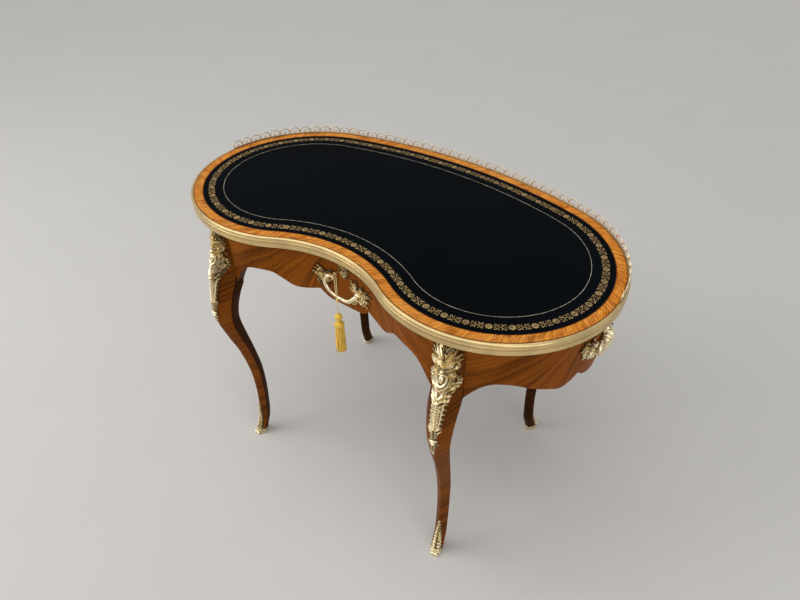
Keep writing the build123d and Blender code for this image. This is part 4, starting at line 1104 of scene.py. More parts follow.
def moulding():
    """Brass edge moulding with its rounded band, groove and fine lines."""
    profile = [(out * MM, MOULDING_LOW.z + rise * MM) for out, rise in MOULDING_PROFILE]
    piece = edging("brass_moulding", 640, profile)
    return settle(piece, finish(brass), "root", ["edge_moulding"], 25)


# Gallery, in millimetres along and up, with half the widths of its flat wires
GALLERY_START = 0.506 * EDGE.half
GALLERY_OUT = 0.0015
WIRE_SECTION = ((-1, -0.5), (-0.7, -1), (0.7, -1), (1, -0.5), (1, 0.5), (0.7, 1), (-0.7, 1), (-1, 0.5))
RAIL_WIRE = 1.5
HOOP_WIRE = 1.2
RING_WIRE = 1.0
HOOP_APART = 0.3
HOOP_FOOT = 4.0
HOOP_TALL = 1.574
RING_MIDDLE = 6.2


def flat_wire(relief, points, half_width, depth, height, looped=False):
    """Flat wire standing on the rail, from points along and up, with painted shade near the rail and painted
    highlight towards the gallery's height.
    """
    line = [Vector(point) for point in points]
    first = len(relief.points)
    count = len(line)
    for index, spot in enumerate(line):
        ahead = line[(index + 1) % count] if looped else line[min(index + 1, count - 1)]
        behind = line[index - 1] if looped else line[max(index - 1, 0)]
        across = Vector((-(ahead - behind).y, (ahead - behind).x)).normalized() * half_width
        for side, lift in WIRE_SECTION:
            rise = spot.y + across.y * side
            # Tone rises from painted shade at the rail to painted highlight at the top
            relief.add(spot.x + across.x * side, rise, lift * depth, mixed(0.3, 0.8, rise / height))
    relief.close(first, len(WIRE_SECTION), count - 1, looped)


def gallery():
    """Pierced brass gallery of hoops on a rail, round the back half."""
    span = 2 * (EDGE.half - GALLERY_START)
    hoops = round(span / sizes().hoop_pitch)
    start, pitch = GALLERY_START / MM, span / hoops / MM
    foot = GALLERY_LOW.z
    height = (GALLERY_HIGH.z - foot) / MM

    def surface(along, rise, relief):
        return EDGE.place(along * MM, GALLERY_OUT + relief * MM, foot + rise * MM)

    made = Relief(surface)
    rail = [(start + step * pitch / 3, RAIL_WIRE) for step in range(3 * hoops + 1)]
    flat_wire(made, rail, RAIL_WIRE, 1.0, height)
    reach = pitch / 2 - HOOP_APART - HOOP_WIRE
    rise = (height - HOOP_FOOT) / HOOP_TALL
    for index in range(hoops):
        middle = start + pitch * (index + 0.5)
        arch = []
        for step in range(21):
            turn = math.radians(-35 + 250 * step / 20)
            arch.append((middle + reach * math.cos(turn), height - HOOP_WIRE - rise + rise * math.sin(turn)))
        flat_wire(made, arch, HOOP_WIRE, 0.8, height)
        turns = [math.tau * step / 12 for step in range(12)]
        ring = [(middle + 3.4 * math.cos(turn), RING_MIDDLE + 3.2 * math.sin(turn)) for turn in turns]
        flat_wire(made, ring, RING_WIRE, 0.7, height, True)
    return settle(made.piece("brass_gallery"), finish(gallery_brass), "root", ["gallery"])


# Aprons and drawer front
APRON_STEP = 0.004
APRON_ROWS = 14
APRON_BEVEL = 0.0012
FAN_RISE = 0.075
FAN_RADIUS = 0.30
FACE_HALF = 0.175
FACE_DROP = 0.001
OPENING_HALF = 0.176
RECESS_FIT = 0.0002
RECESS_BACK = 0.008
RECESS_TOP = 0.010


def apron(name, start, stop, shape, top=UNDERSIDE):
    """Veneered wall with a shaped lower edge and grain that fans out from above its middle."""
    columns = max(int((stop - start) / APRON_STEP), 24)
    middle = shape[0]
    bevel = APRON_BEVEL

    def run_at(column):
        return mixed(start, stop, column / columns)

    def section(column, row):
        foot = lower_edge(run_at(column), *shape)
        if row <= APRON_ROWS:
            return -APRON_INSET, mixed(top, foot + bevel, row / APRON_ROWS)
        rest = (
            (-APRON_INSET - 0.3 * bevel, foot + 0.3 * bevel), (-APRON_INSET - bevel, foot),
            (-APRON_BACK + bevel, foot), (-APRON_BACK, foot + bevel), (-APRON_BACK, top), (-APRON_INSET, top))
        return rest[row - APRON_ROWS - 1]

    def spot(column, row):
        return EDGE.place(run_at(column), *section(column, row))

    def grain(column, row):
        out, height = section(column, row)
        aside, below = run_at(column) - middle, UNDERSIDE + FAN_RISE - height
        return math.atan2(aside, below) * FAN_RADIUS, math.hypot(aside, below) + out

    # Tone 0 on the underside of the lower edge marks where the veneer takes painted shade
    def tone(_, row):
        return 0.0 if row in (APRON_ROWS + 2, APRON_ROWS + 3) else 1.0

    return grid(name, columns, APRON_ROWS + 6, spot, grain, tone=tone)


def cut_across(piece, place, side, outer):
    """Cut a piece upright across the desk at a place on one side, and take off its outer or inner part."""
    select_only(piece)
    bpy.ops.object.mode_set(mode="EDIT")
    bpy.ops.mesh.select_all(action="SELECT")
    bpy.ops.mesh.bisect(plane_co=(side * place, 0, 0), plane_no=(side, 0, 0), use_fill=True,
                        clear_outer=outer, clear_inner=not outer)
    bpy.ops.object.mode_set(mode="OBJECT")


def all_aprons():
    """Veneered aprons round the carcase. The front ones start past the opening and are cut back to it."""
    veneer = finish(apron_veneer)
    inner, outer = 0.16, FRONT_LEG_RUN - LEG_HALF
    for side, word in ((-1, "left"), (1, "right")):
        piece = apron("front_apron_" + word, *sorted((side * outer, side * inner)), FRONT_EDGE)
        cut_across(piece, OPENING_HALF, side, False)
        settle(piece, veneer, "root", ["apron_front_" + word])
        ends = sorted((side * (FRONT_LEG_RUN + LEG_HALF), side * (BACK_LEG_RUN - LEG_HALF)))
        piece = apron("end_apron_" + word, *ends, end_edge(side))
        settle(piece, veneer, "root", ["apron_%s_end" % word])
    start = BACK_LEG_RUN + LEG_HALF
    piece = apron("back_apron", start, 2 * EDGE.half - start, BACK_EDGE)
    settle(piece, veneer, "root", ["apron_back"])


def drawer_face():
    """Veneered drawer front, cut off square at its sides, with the recess for the lock."""
    reach = 0.20
    piece = apron("drawer_face", -reach, reach, FRONT_EDGE, UNDERSIDE - FACE_DROP)
    for side in (1, -1):
        cut_across(piece, FACE_HALF, side, True)
    low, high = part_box("lock_case")
    low = low - Vector((RECESS_FIT, 0, RECESS_FIT / 2))
    high = high + Vector((RECESS_FIT, RECESS_BACK, RECESS_TOP + RECESS_FIT / 2))
    deselect()
    bpy.ops.mesh.primitive_cube_add(size=1, location=(low + high) / 2)
    cutter = bpy.context.object
    cutter.scale = high - low
    modifier = piece.modifiers.new("recess", "BOOLEAN")
    modifier.operation = "DIFFERENCE"
    modifier.solver = "EXACT"
    modifier.object = cutter
    apply_modifiers(piece)
    bpy.data.objects.remove(cutter)
    return settle(piece, finish(apron_veneer), "drawer", ["drawer_front"])


# Legs
ARRIS_RADIUS = 0.0035
CORNER_RADIUS = 0.002
FACE_BULGE = 0.0006
RING_POINTS = 30
LEG_STEPS = 150
INNER_MARGIN = 0.0015
GRAIN_SLANT = 0.45

# Lower end of a leg's head, as its drop below the aprons' foot and its setback in metres, and its half widths
# in front and behind as shares
HEAD_TAPER = (
    (0, 0, 1, 0.97), (0.003, 0, 0.972, 0.90), (0.008, 0.0004, 0.943, 0.84), (0.014, 0.0007, 0.918, 0.79),
    (0.021, 0.0010, 0.90, 0.75))
HEAD_THICKNESS = 0.021
HEAD_FOOT = UNDERSIDE - 0.98 * APRON_DEPTH


def leg_ring(height, grow=0.0):
    """Corners of a leg's section with rounded arrises, as aside and out."""
    arris, half, side, inner, heel = leg_sizes(height)
    corners = [Vector((0, arris + grow * 1.3)), Vector((half + grow, side)), Vector((heel, inner - grow)),
               Vector((-heel, inner - grow)), Vector((-half - grow, side))]
    ring = []
    for index, corner in enumerate(corners):
        before, after = corners[index - 1], corners[(index + 1) % len(corners)]
        radius = ARRIS_RADIUS if index == 0 else CORNER_RADIUS
        ahead = (after - corner).normalized()
        start = corner + (before - corner).normalized() * radius
        stop = corner + ahead * radius
        ring += [start, start * 0.25 + corner * 0.5 + stop * 0.25, stop]
        bulge = Vector((-(after - stop).y, (after - stop).x)).normalized() * FACE_BULGE
        reach = (after - corner).length - 2 * radius
        for share in (0.25, 0.5, 0.75):
            ring.append(stop + ahead * reach * share + bulge * math.sin(math.pi * share))
    return ring


def leg_shaft(name, run):
    """Veneered cabriole shaft of a leg, its grain slanting away from the arris."""
    outward, along = EDGE.directions(run)
    middle = EDGE.place(run, 0, 0)
    heights = [SOLE + LEG_SPAN * step / LEG_STEPS for step in range(LEG_STEPS + 1)]
    rings = [leg_ring(height) for height in heights]

    def spot(column, row):
        aside, out = rings[column][row % RING_POINTS]
        return middle + along * aside + outward * out + Vector((0, 0, heights[column]))

    def grain(column, row):
        ring = rings[column]
        steps = [(ring[(step + 1) % RING_POINTS] - ring[step]).length for step in range(RING_POINTS)]
        reach = min(sum(steps[:row]), sum(steps[row:]))
        return heights[column] - GRAIN_SLANT * reach, reach

    # Tone 0 on the inner faces marks where the veneer takes painted shade
    def tone(column, row):
        side = leg_sizes(heights[column])[2]
        return 1.0 if rings[column][row % RING_POINTS].y > side - INNER_MARGIN else 0.0

    return grid(name, LEG_STEPS, RING_POINTS, spot, grain, tone=tone)


def leg_head(name, run):
    """Head of a leg between the aprons, narrowing into the shaft."""
    front, back = -APRON_INSET, -APRON_INSET - HEAD_THICKNESS
    profile = [(front, UNDERSIDE, 1), (front, mixed(UNDERSIDE, HEAD_FOOT, 0.5), 1)]
    profile += [(front - setback, HEAD_FOOT - drop, half) for drop, setback, half, _ in HEAD_TAPER]
    profile += [(back, HEAD_FOOT - drop, half) for drop, _, _, half in reversed(HEAD_TAPER)]
    profile += [(back, UNDERSIDE, 1), (front, UNDERSIDE, 1)]
    steps = 12

    def share(column):
        return 2 * column / steps - 1

    def spot(column, row):
        out, height, half = profile[row]
        return EDGE.place(run + LEG_HALF * half * share(column), out, height)

    def grain(column, row):
        aside = abs(LEG_HALF * share(column))
        return profile[row][1] - GRAIN_SLANT * aside, aside + profile[row][0] + APRON_INSET

    # Tone 0 on the back of the head marks where the veneer takes painted shade
    def tone(_, row):
        return 0.0 if profile[row][0] == back else 1.0

    return grid(name, steps, len(profile) - 1, spot, grain, tone=tone)


def all_legs():
    """Four veneered legs."""
    for leg, run in LEG_RUNS.items():
        name = "cabriole_" + leg
        piece = joined([leg_shaft(name, run), leg_head(name + "_head", run)], name)
        settle(piece, finish(leg_veneer), "root", ["leg_" + leg], 30)


# Knee mounts and sabots, in millimetres aside, height and relief
GROUND_HEIGHT = 2.2
# Dimmer tone of the ground plates: painted shade behind the ornament
GROUND_SHINE = 0.65
GRAINS_INSIDE = 0.86


def knee_ornament(relief):
    """Leafy mount of a knee, from its fan down to its tail."""
    rib, both, bead = relief.rib, relief.both, relief.bead
    spread = (1.5, 3, 4.5, 7, 8, 8.8, 10.5, 16, 20, 16, 20, 13)
    ground = [(0, 450), (0, 500), (0, 560), (0, 620), (0, 680), (0, 723)]
    rib(ground, spread, GROUND_HEIGHT, "plate", stations=40, shine=GROUND_SHINE)
    relief.grains(455, 720, [GRAINS_INSIDE * half for half in spread], 150, 1.15, 3.4)
    # Fan
    rib([(0, 682), (0, 712), (0, 736)], (2, 3.8, 1.2), (6, 8.5, 5), "leaf", 3)
    both(relief.fan, (0.5, 683), (11, 22, 36, 52), (48, 45, 38, 34), 3.5, 7, 0.3, "leaf")
    both(rib, [(17, 702), (23, 706), (28, 713)], (2.2, 3.2, 0.7), (4, 6, 4), "leaf", 2)
    both(rib, [(12, 716), (17, 721), (20, 728)], (1.8, 2.8, 0.6), (4, 6, 4), "leaf", 2)
    both(rib, [(4, 724), (7, 729), (8, 735)], (1.5, 2.2, 0.6), (4, 6, 4), "leaf")
    # Scrolls
    both(rib, [(3, 699), (11, 701), (18.5, 697), (22, 688), (18, 680), (11, 680), (8.5, 686), (12.5, 689.5)],
         (1.6, 2.6, 2.9, 2.7, 2.2, 1.5), (7, 10, 10, 9, 8, 6), "channel", stations=30)
    both(bead, 11.5, 685.5, 2.6, 8)
    both(rib, [(4, 677), (11, 674), (16.5, 668), (14, 661), (8.5, 662), (9, 667)],
         (1.4, 2.2, 2.4, 2, 1.2), (6, 8.5, 8, 7, 6), "channel", stations=22)
    both(bead, 12, 667, 2.4, 8)
    both(rib, [(19, 676), (24, 672), (26, 664)], (1.2, 2.6, 0.7), (4, 6, 4), "leaf", 2)
    # Cartouche
    turns = [math.tau * step / 12 for step in range(13)]
    oval = [(6.2 * math.sin(turn), 657 + 13.5 * math.cos(turn)) for turn in turns]
    rib(oval, 1.7, 9, stations=28, looped=True)
    bead(0, 657, 4.2, 8, stretch=2.3, sides=14)
    both(rib, [(2, 677), (9, 668), (11.5, 656), (9.5, 643), (4, 635), (0, 632)],
         (1.2, 2, 2.2, 2, 1.5), (6, 8.5, 8.5, 8, 6), "channel", stations=24)
    bead(0, 676, 3.4, 10)
    # Leafy edges
    both(rib, [(10, 652), (18, 659), (24.5, 653), (25.5, 642), (22, 631), (16, 622)],
         (1.8, 3.6, 4.6, 4.6, 3.6, 1.4), (5, 7, 7, 7, 5), "leaf", 7)
    both(rib, [(12, 640), (17, 643), (19, 636), (14, 629), (9, 630)],
         (1.4, 2.4, 2.4, 2, 1.2), (5, 8, 7, 6), "channel", stations=18)
    # Crossing fronds
    both(rib, [(-3, 602), (4, 609), (12, 618), (23, 622)], (1.8, 3.4, 3.2, 0.8), (6, 9, 8, 4), "leaf", 4)
    both(rib, [(-1, 612), (5, 622), (6, 634), (3, 641)], (1.6, 2.6, 2.6, 0.8), (6, 8.5, 7, 4), "channel")
    both(rib, [(3, 596), (10, 603), (15, 612), (15, 618)], (1.6, 3, 3, 0.8), (5, 8, 7, 4), "leaf", 3)
    bead(0, 607, 3.6, 10)
    # Taper with its rims, grains and leaves
    both(rib, [(9.5, 605), (8, 592), (7.2, 575), (6.6, 558), (5.4, 545), (2.6, 536)],
         (1.5, 1.6, 1.5, 1.3), 5.4, "round", stations=22)
    for step in range(10):
        bead(0, 598 - 6.4 * step, 1.9, 6.4, sides=8)
        both(bead, 3.9 - 0.12 * step, 595 - 6.2 * step, 1.4, 5.2, sides=7)
    for step in range(6):
        both(rib, [(7 - 0.3 * step, 594 - 11 * step), (11.5 - 0.6 * step, 597 - 11 * step),
                   (13 - 0.9 * step, 589 - 11 * step)], (1.4, 2.7, 0.6), (4, 6.4, 3), "leaf", 2)
    both(rib, [(2, 534), (7.5, 540), (9.5, 532), (5, 526)],
         (1.2, 2, 1.8, 0.8), (5, 7, 5), "channel", stations=14)
    rib([(0, 540), (0, 524), (0, 509)], (4, 4.6, 3), (6, 7, 6), "leaf", 4)
    # Ring, bud and tail
    rib([(-5.4, 504), (0, 507), (5.4, 504)], (1.5, 2.2, 1.5), (7, 8.5, 7), "round", stations=8)
    bead(0, 495, 3.8, 7.5, stretch=1.3)
    both(rib, [(1.5, 499), (6.5, 494), (5.5, 484)], (1.2, 2.6, 0.6), (4, 6.5, 3), "leaf", 3)
    rib([(0, 489), (0, 475), (0, 462)], (3.2, 3.6, 0.8), (5.5, 6, 3), "leaf", 4)


def all_knee_mounts():
    """Four gilt knee mounts."""
    for leg, run in LEG_RUNS.items():
        relief = Relief(leg_surface(run))
        knee_ornament(relief)
        settle(relief.piece("gilt_knee_" + leg), finish(gilt_bronze), "root",
               ["knee_mount_" + leg], 50)


def sabot_ornament(relief):
    """Leaves on the front of a sabot, up to the point of its tongue."""
    rib, both, bead = relief.rib, relief.both, relief.bead
    spread = (8.6, 8.4, 7.6, 6.6, 5.4, 4.4, 3, 0.9)
    ground = [(0, 8), (0, 45), (0, 85), (0, 123)]
    rib(ground, spread, GROUND_HEIGHT, "plate", stations=24, shine=GROUND_SHINE)
    relief.grains(14, 121, [GRAINS_INSIDE * half for half in spread], 90, 1.1, 3.5, 5)
    rib([(0, 22), (0, 60), (0, 95), (0, 121)], (2.4, 2.4, 1.8, 0.8), (5.4, 5.4, 5, 4), "leaf", 10)
    for step in range(9):
        foot = 27 + 9.6 * step
        both(rib, [(1.5, foot), (7 - 0.55 * step, foot + 4), (9.2 - 0.8 * step, foot + 11)],
             (1.4, 2.6 - 0.12 * step, 0.5), (4, 5.2, 3), "leaf", 2)
    both(rib, [(1, 9), (5.5, 14), (9, 23), (10, 33)], (1.8, 3.2, 2.8, 0.7), (3.5, 4.6, 4, 2.6), "leaf", 4)
    both(rib, [(5, 8), (9, 9), (12.5, 14), (13, 21)], (1.4, 2.4, 2, 0.6), (3, 4, 3.4, 2.4), "leaf", 3)
    rib([(0, 6), (0, 18), (0, 32)], (3.6, 3.8, 1.1), (5, 6, 3.6), "leaf", 4)
    both(bead, 4, 11, 1.8, 5)


# Sleeve of a sabot, as height and how far it stands out of the leg, and its toe's rolls, as places aside of
# their middles and radii
SLEEVE = ((0, 0.0010), (0.0008, 0.0016), (0.005, 0.0016), (0.0095, 0.0011), (0.012, 0.0014), (0.013, 0.0006))
SLEEVE_HEEL = 2
TOE_OUT = 0.003
TOE_HEIGHT = 0.0058
TOE_ROLLS = ((0.0036, 0.0056), (0.0072, 0.0038))
ROLL_STEP = 0.0018
ROLL_ENDS = ((-1.6, 0.8), (-1.2, 0.96), (0, 1), (1.2, 0.96), (1.6, 0.8))


def sleeve(run):
    """Gilt sleeve round a foot, rising towards the front."""
    outward, along = EDGE.directions(run)
    middle = EDGE.place(run, 0, 0)

    def spot(column, row):
        height, grow = SLEEVE[column]
        aside, out = leg_ring(max(height, SOLE), grow)[row % RING_POINTS]
        lean = (out - leg_sizes(max(height, SOLE))[3]) / KNEE_SWELL
        lift = max(lean, 0) * 0.008 if column > SLEEVE_HEEL else 0
        return middle + along * aside + outward * out + Vector((0, 0, height + lift))

    return grid("sleeve", len(SLEEVE) - 1, RING_POINTS, spot, lambda c, r: (c, r), tone=lambda c, r: 0.5)


def sabot(leg, run):
    """Gilt shoe with its sleeve, leaves and rolled toe."""
    along = EDGE.directions(run)[1]
    relief = Relief(leg_surface(run))
    sabot_ornament(relief)
    roll = EDGE.place(run, TOE_OUT, TOE_HEIGHT)
    for aside, radius in TOE_ROLLS:
        for side in (-1, 1):
            line = [roll + along * (side * aside + step * ROLL_STEP) for step, _ in ROLL_ENDS]
            relief.tube(line, [radius * share for _, share in ROLL_ENDS], 18, 0.75)
    piece = joined([relief.piece("leaves"), sleeve(run)], "gilt_sabot_" + leg)
    return settle(piece, finish(gilt_bronze), "root", ["sabot_" + leg], 50)


def all_sabots():
    """Four gilt sabots."""
    for leg, run in LEG_RUNS.items():
        sabot(leg, run)


# Handles and escutcheon, with each leaf's points as millimetres aside and up from the middle and half width
LEAVES = (
    ((-45, 4, 3.4), (-51, 13, 6.4), (-59, 24, 6.2), (-70, 33, 1.2)),
    ((-48, 2, 3.4), (-60, 6, 6.2), (-71, 10, 5.4), (-83, 14, 1)),
    ((-49, 0, 3.4), (-61, -2, 6), (-67, -9, 5), (-66, -19, 1)),
    ((-45, -3, 3.2), (-47, -13, 5.2), (-51, -22, 4.6), (-59, -30, 1)),
    ((-43, 5, 2.6), (-42, 16, 4.4), (-37, 24, 3.8), (-28, 29, 0.9)),
    ((-47, 5, 2.6), (-57, 15, 4.4), (-66, 20, 3.6), (-77, 24, 0.8)),
    ((-46, -2, 2.6), (-56, -12, 4.4), (-62, -20, 3.6), (-70, -26, 0.8)),
    ((39, -1, 3.4), (35, 9, 5.8), (32, 19, 5), (35, 29, 1)),
    ((37, 0, 2.8), (29, 10, 5), (24, 18, 4.2), (20, 27, 0.9)),
    ((41, 0, 3.4), (47, 9, 5.8), (50, 17, 4.8), (57, 25, 1)),
    ((43, -2, 3.4), (56, 1, 6.4), (69, 6, 5.4), (83, 12, 1)),
    ((44, -4, 3), (57, -8, 5.6), (68, -9, 4.6), (79, -6, 0.9)),
    ((42, -6, 3.2), (46, -15, 5.6), (50, -23, 4.6), (56, -32, 1)),
    ((39, -6, 3), (38, -16, 5), (40, -24, 4.2), (43, -32, 1)),
    ((35, -3, 2.6), (27, 0, 4.6), (20, 3, 3.8), (13, 6, 0.9)),
    ((45, 0, 2.6), (58, 11, 4.6), (68, 17, 3.6), (76, 22, 0.8)),
    ((44, -6, 2.6), (56, -16, 4.6), (64, -21, 3.6), (71, -26, 0.8)),
)
SHEATH_LEAVES = (
    ((26, -27, 2), (33, -27, 3.6), (40, -24, 2.8), (44, -17, 0.8)),
    ((24, -21, 2), (31, -14, 3.8), (38, -9, 3.4), (46, -8, 0.8)),
    ((28, -24, 2.2), (36, -19, 4), (43, -13, 3.6), (52, -12, 0.9)),
    ((-40, -12, 2), (-47, -4, 3.6), (-50, 5, 3), (-57, 9, 0.8)),
    ((-44, -4, 2), (-50, 6, 3.8), (-52, 16, 3), (-60, 22, 0.8)),
    ((-34, 20, 2), (-42, 22, 3.4), (-48, 18, 2.8), (-54, 22, 0.8)),
)
BOSSES = ((-46, 2), (41, -4))

# Bow of a handle, as millimetres aside, up and out, with radii in metres
BOW_LINE = (
    (-25, 12, 8), (-24, 17, 12), (-29, 21, 15), (-37, 19, 17), (-42, 11, 19), (-42, 1, 20.5), (-37, -9, 20.5),
    (-27, -18, 20.5), (-13, -23.5, 20.5), (0, -25, 20.5), (14, -25, 20.5), (26, -22, 20), (34, -16, 18),
    (40, -9, 14), (44, -4, 8))
BOW_RADII = (
    0.0022, 0.0036, 0.0042, 0.0046, 0.0050, 0.0048, 0.0040, 0.0036, 0.0042, 0.0048, 0.0052, 0.0054, 0.0050,
    0.0040)
BOW_MIDDLE = 9
BOW_COLLARS = ((-2.6, 0.0042), (0, 0.0050), (2.6, 0.0042))
COLLAR_ENDS = ((-1.2, 0.75), (-0.8, 0.94), (0, 1), (0.8, 0.94), (1.2, 0.75))


class Handle:
    """Cast handle about the run and height of its middle; flat and near scale its rise and its depth."""

    def __init__(self, run, height, flat=1, near=1):
        self.run = run
        self.height = height
        self.flat = flat
        self.near = near
        self.relief = Relief(wall_surface(run))
        self.leaves()
        self.bosses()
        self.bow()

    def up(self, rise):
        """Height of a place given as a rise from the middle."""
        return self.height + rise * self.flat

    def leaves(self):
        """Two leafy groups either side of the middle, and the leaves that sheathe the bow."""
        sheath_base = 12 * self.near
        for group, heights, base in ((LEAVES, (5, 8, 7, 4), 0), (SHEATH_LEAVES, (3, 5, 4, 2), sheath_base)):
            for leaf in group:
                path = [(aside, self.up(rise)) for aside, rise, _ in leaf]
                self.relief.rib(path, [width for _, _, width in leaf], heights, "leaf", 5, base=base)

    def bosses(self):
        """Boss with a ring of beads in each leafy group."""
        for aside, rise in BOSSES:
            middle = self.up(rise)
            self.relief.bead(aside, middle, 7.5, 14 * self.near)
            for step in range(6):
                turn = math.tau * step / 6
                self.relief.bead(aside + 8 * math.cos(turn), middle + 8 * math.sin(turn), 2.2, 9, sides=7)

    def bow(self):
        """Smooth bow that joins the two leafy groups, with a collar in its middle."""
        outward, along = EDGE.directions(self.run)
        foot = EDGE.place(self.run, -APRON_INSET, 0)

        def spot(aside, rise, out):
            level = Vector((0, 0, self.up(rise)))
            return foot + (along * aside + outward * out * self.near + level) * MM

        self.relief.tube([spot(*point) for point in smooth_line(BOW_LINE, 80)], BOW_RADII, 16)
        _, rise, out = BOW_LINE[BOW_MIDDLE]
        for place, radius in BOW_COLLARS:
            line = [spot(place + step, rise, out) for step, _ in COLLAR_ENDS]
            self.relief.tube(line, [radius * share for _, share in COLLAR_ENDS], 14)

    def foliage(self):
        """Leaves that cover the bow and hang from the groups."""
        for shift in (-4, 3):
            path = [(aside, self.up(rise) + shift) for aside, rise, _ in BOW_LINE[5:14]]
            self.relief.rib(path, (3, 5, 4, 2.4, 4, 5.4, 5), 7, "leaf", 9, base=14 * self.near)
        for aside, rise in ((-47, 9), (-52, 0), (-40, -9), (34, -9), (46, -6), (40, 4), (28, -16)):
            top = self.up(rise)
            path = [(aside, top), (aside * 1.12, top - 5), (aside * 1.16, top - 16)]
            self.relief.rib(path, (2.4, 3.6, 1), (5, 7, 3), "leaf", 3, base=9 * self.near)

    def settled(self, name, body, replaced):
        """Finished handle that rides on a body."""
        return settle(self.relief.piece(name), finish(gilt_bronze), body, [replaced], 50)


def all_handles():
    """Drawer handle and the two end handles."""
    Handle(0, 665).settled("gilt_drawer_handle", "drawer", "drawer_handle")
    for side, word in ((-1, "left"), (1, "right")):
        handle = Handle(side * END_RUN, 670, flat=0.7, near=0.95)
        handle.foliage()
        handle.settled("gilt_end_handle_" + word, "root", "end_handle_" + word)


def escutcheon():
    """Leafy keyhole plate and the keyhole."""
    relief = Relief(wall_surface(0))
    rib, both, bead = relief.rib, relief.both, relief.bead
    rib([(0, 684), (0, 700), (0, 716), (0, 730)], (2, 8, 9.5, 8, 2), (1.6, 2, 2, 1.6), "plate",
        stations=16, shine=GROUND_SHINE)
    relief.grains(688, 728, (5, 8, 8, 3), 26, 0.8, 2.8, 9)
    both(rib, [(0, 685), (6, 688), (10.5, 696), (10.5, 705), (7, 710)],
         (1.2, 2.2, 2.4, 1.6, 0.9), (3.4, 4.4, 4.2, 3.4), "leaf", 5)
    both(rib, [(1, 692), (5, 696), (6, 702), (4, 706)], (1, 1.5, 1.4, 0.8), (3.6, 4.6, 4), "channel",
         stations=14)
    both(rib, [(3, 716), (8.5, 717), (12, 722), (9.5, 727), (6.5, 724)],
         (1.1, 1.9, 1.8, 1.4, 0.8), (3.6, 4.8, 4.4, 3.6), "channel", stations=18)
    both(relief.fan, (0, 719), (0.1, 24, 48), (13, 12, 10), 1.9, 4.4, 0.2, "leaf")
    both(rib, [(8, 706), (13, 709), (16.5, 707)], (1.2, 2.2, 0.6), (3.4, 4.4, 3), "leaf", 2)
    both(rib, [(7, 712), (12, 715), (15, 719)], (1.2, 2, 0.6), (3.4, 4.4, 3), "leaf", 2)
    bead(0, 689, 2.2, 4.6)
    settle(relief.piece("gilt_escutcheon"), finish(gilt_bronze), "drawer", ["escutcheon"], 50)
    # The keyhole is a dark sheet of painted shadow
    hole = Relief(wall_surface(0))
    hole.bead(0, 712, 3.0, 3.6, sides=16)
    hole.rib([(0, 711), (0, 702)], 1.4, 3.4, "plate", stations=4)
    settle(hole.piece("keyhole_shadow"), finish(shadow), "drawer")


# Tassel, in millimetres: routes as places along and heights, profiles as radii and heights
LOOP_ROUTE = (
    (-1.35, 642), (-3.2, 702), (-3.5, 710.5), (-3.1, 714.3), (-1.2, 715.6), (1.2, 715.6), (3.1, 714.3),
    (3.5, 710.5), (3.2, 702), (1.35, 642))
STRAND_ROUTE = ((0, 637), (0, 619), (0, 601), (0, 573), (0, 545))
KNOT_PROFILE = (
    (0, 642.4), (1.6, 642.3), (2.6, 641.4), (2.9, 640.2), (2.7, 639.2), (2.9, 638.2), (2.3, 637.2),
    (1.3, 636.8), (0, 636.8))
HEAD_RADIUS = 9
HEAD_HEIGHT = 592
HEAD_TOP = [(0, 601.3), (1.4, 601.2)]
HEAD_NECK = [(4.4, 583), (4.2, 580), (4.6, 577), (5.5, 575.5), (0, 575)]
RUFF_PROFILE = (
    (0, 577), (4.5, 577), (8, 575.4), (10.8, 572.5), (11.8, 569), (11.2, 565.8), (9.6, 563.2), (7, 561),
    (0, 560.5))
CORE_PROFILE = ((0, 564), (9, 564), (7.2, 562), (7.6, 520), (8.6, 495), (0, 495))

# Rings of the skirt's threads, as how many and the radii at top and foot; radii of a thread in metres
THREAD_RINGS = ((46, 9.9, 11.9), (40, 8.2, 9.8), (26, 5.4, 7.2))
THREAD_TOP = 563
THREAD_FOOT = 490
THREAD_RADII = (0.00074, 0.0008, 0.0008, 0.00055)

# Lay of a cord's three strands in metres, and their offset and radius as shares of the cord's radius
CORD_STEP = 0.0007
CORD_PITCH = 0.0062
STRAND_OFFSET = 0.48
STRAND_RADIUS = 0.55


def tassel_axis():
    """Place of the tassel's axis in depth."""
    low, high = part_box("tassel_skirt")
    return (low.y + high.y) / 2


def cord_line(route):
    """Points along the smooth line of a cord's route."""
    curve = bpy.data.curves.new("route", "CURVE")
    curve.dimensions = "3D"
    curve.resolution_u = 12
    spline = curve.splines.new("NURBS")
    spline.points.add(len(route) - 1)
    depth = tassel_axis()
    for point, (x, z) in zip(spline.points, route):
        point.co = (x * MM, depth, z * MM, 1)
    spline.order_u = 3
    spline.use_endpoint_u = True
    holder = bpy.data.objects.new("route", curve)
    bpy.context.collection.objects.link(holder)
    mesh = bpy.data.meshes.new_from_object(holder)
    line = [vertex.co.copy() for vertex in mesh.vertices]
    bpy.data.objects.remove(holder)
    bpy.data.meshes.remove(mesh)
    return line


def even_line(line, step):
    """The same line with evenly spaced points, and its length."""
    spans = [0]
    for start, stop in zip(line, line[1:]):
        spans.append(spans[-1] + (stop - start).length)
    count = max(round(spans[-1] / step), 2)
    made, index = [], 0
    for number in range(count + 1):
        place = spans[-1] * number / count
        while index < len(spans) - 2 and spans[index + 1] < place:
            index += 1
        share = (place - spans[index]) / (spans[index + 1] - spans[index])
        made.append(line[index].lerp(line[index + 1], share))
    return made, spans[-1]


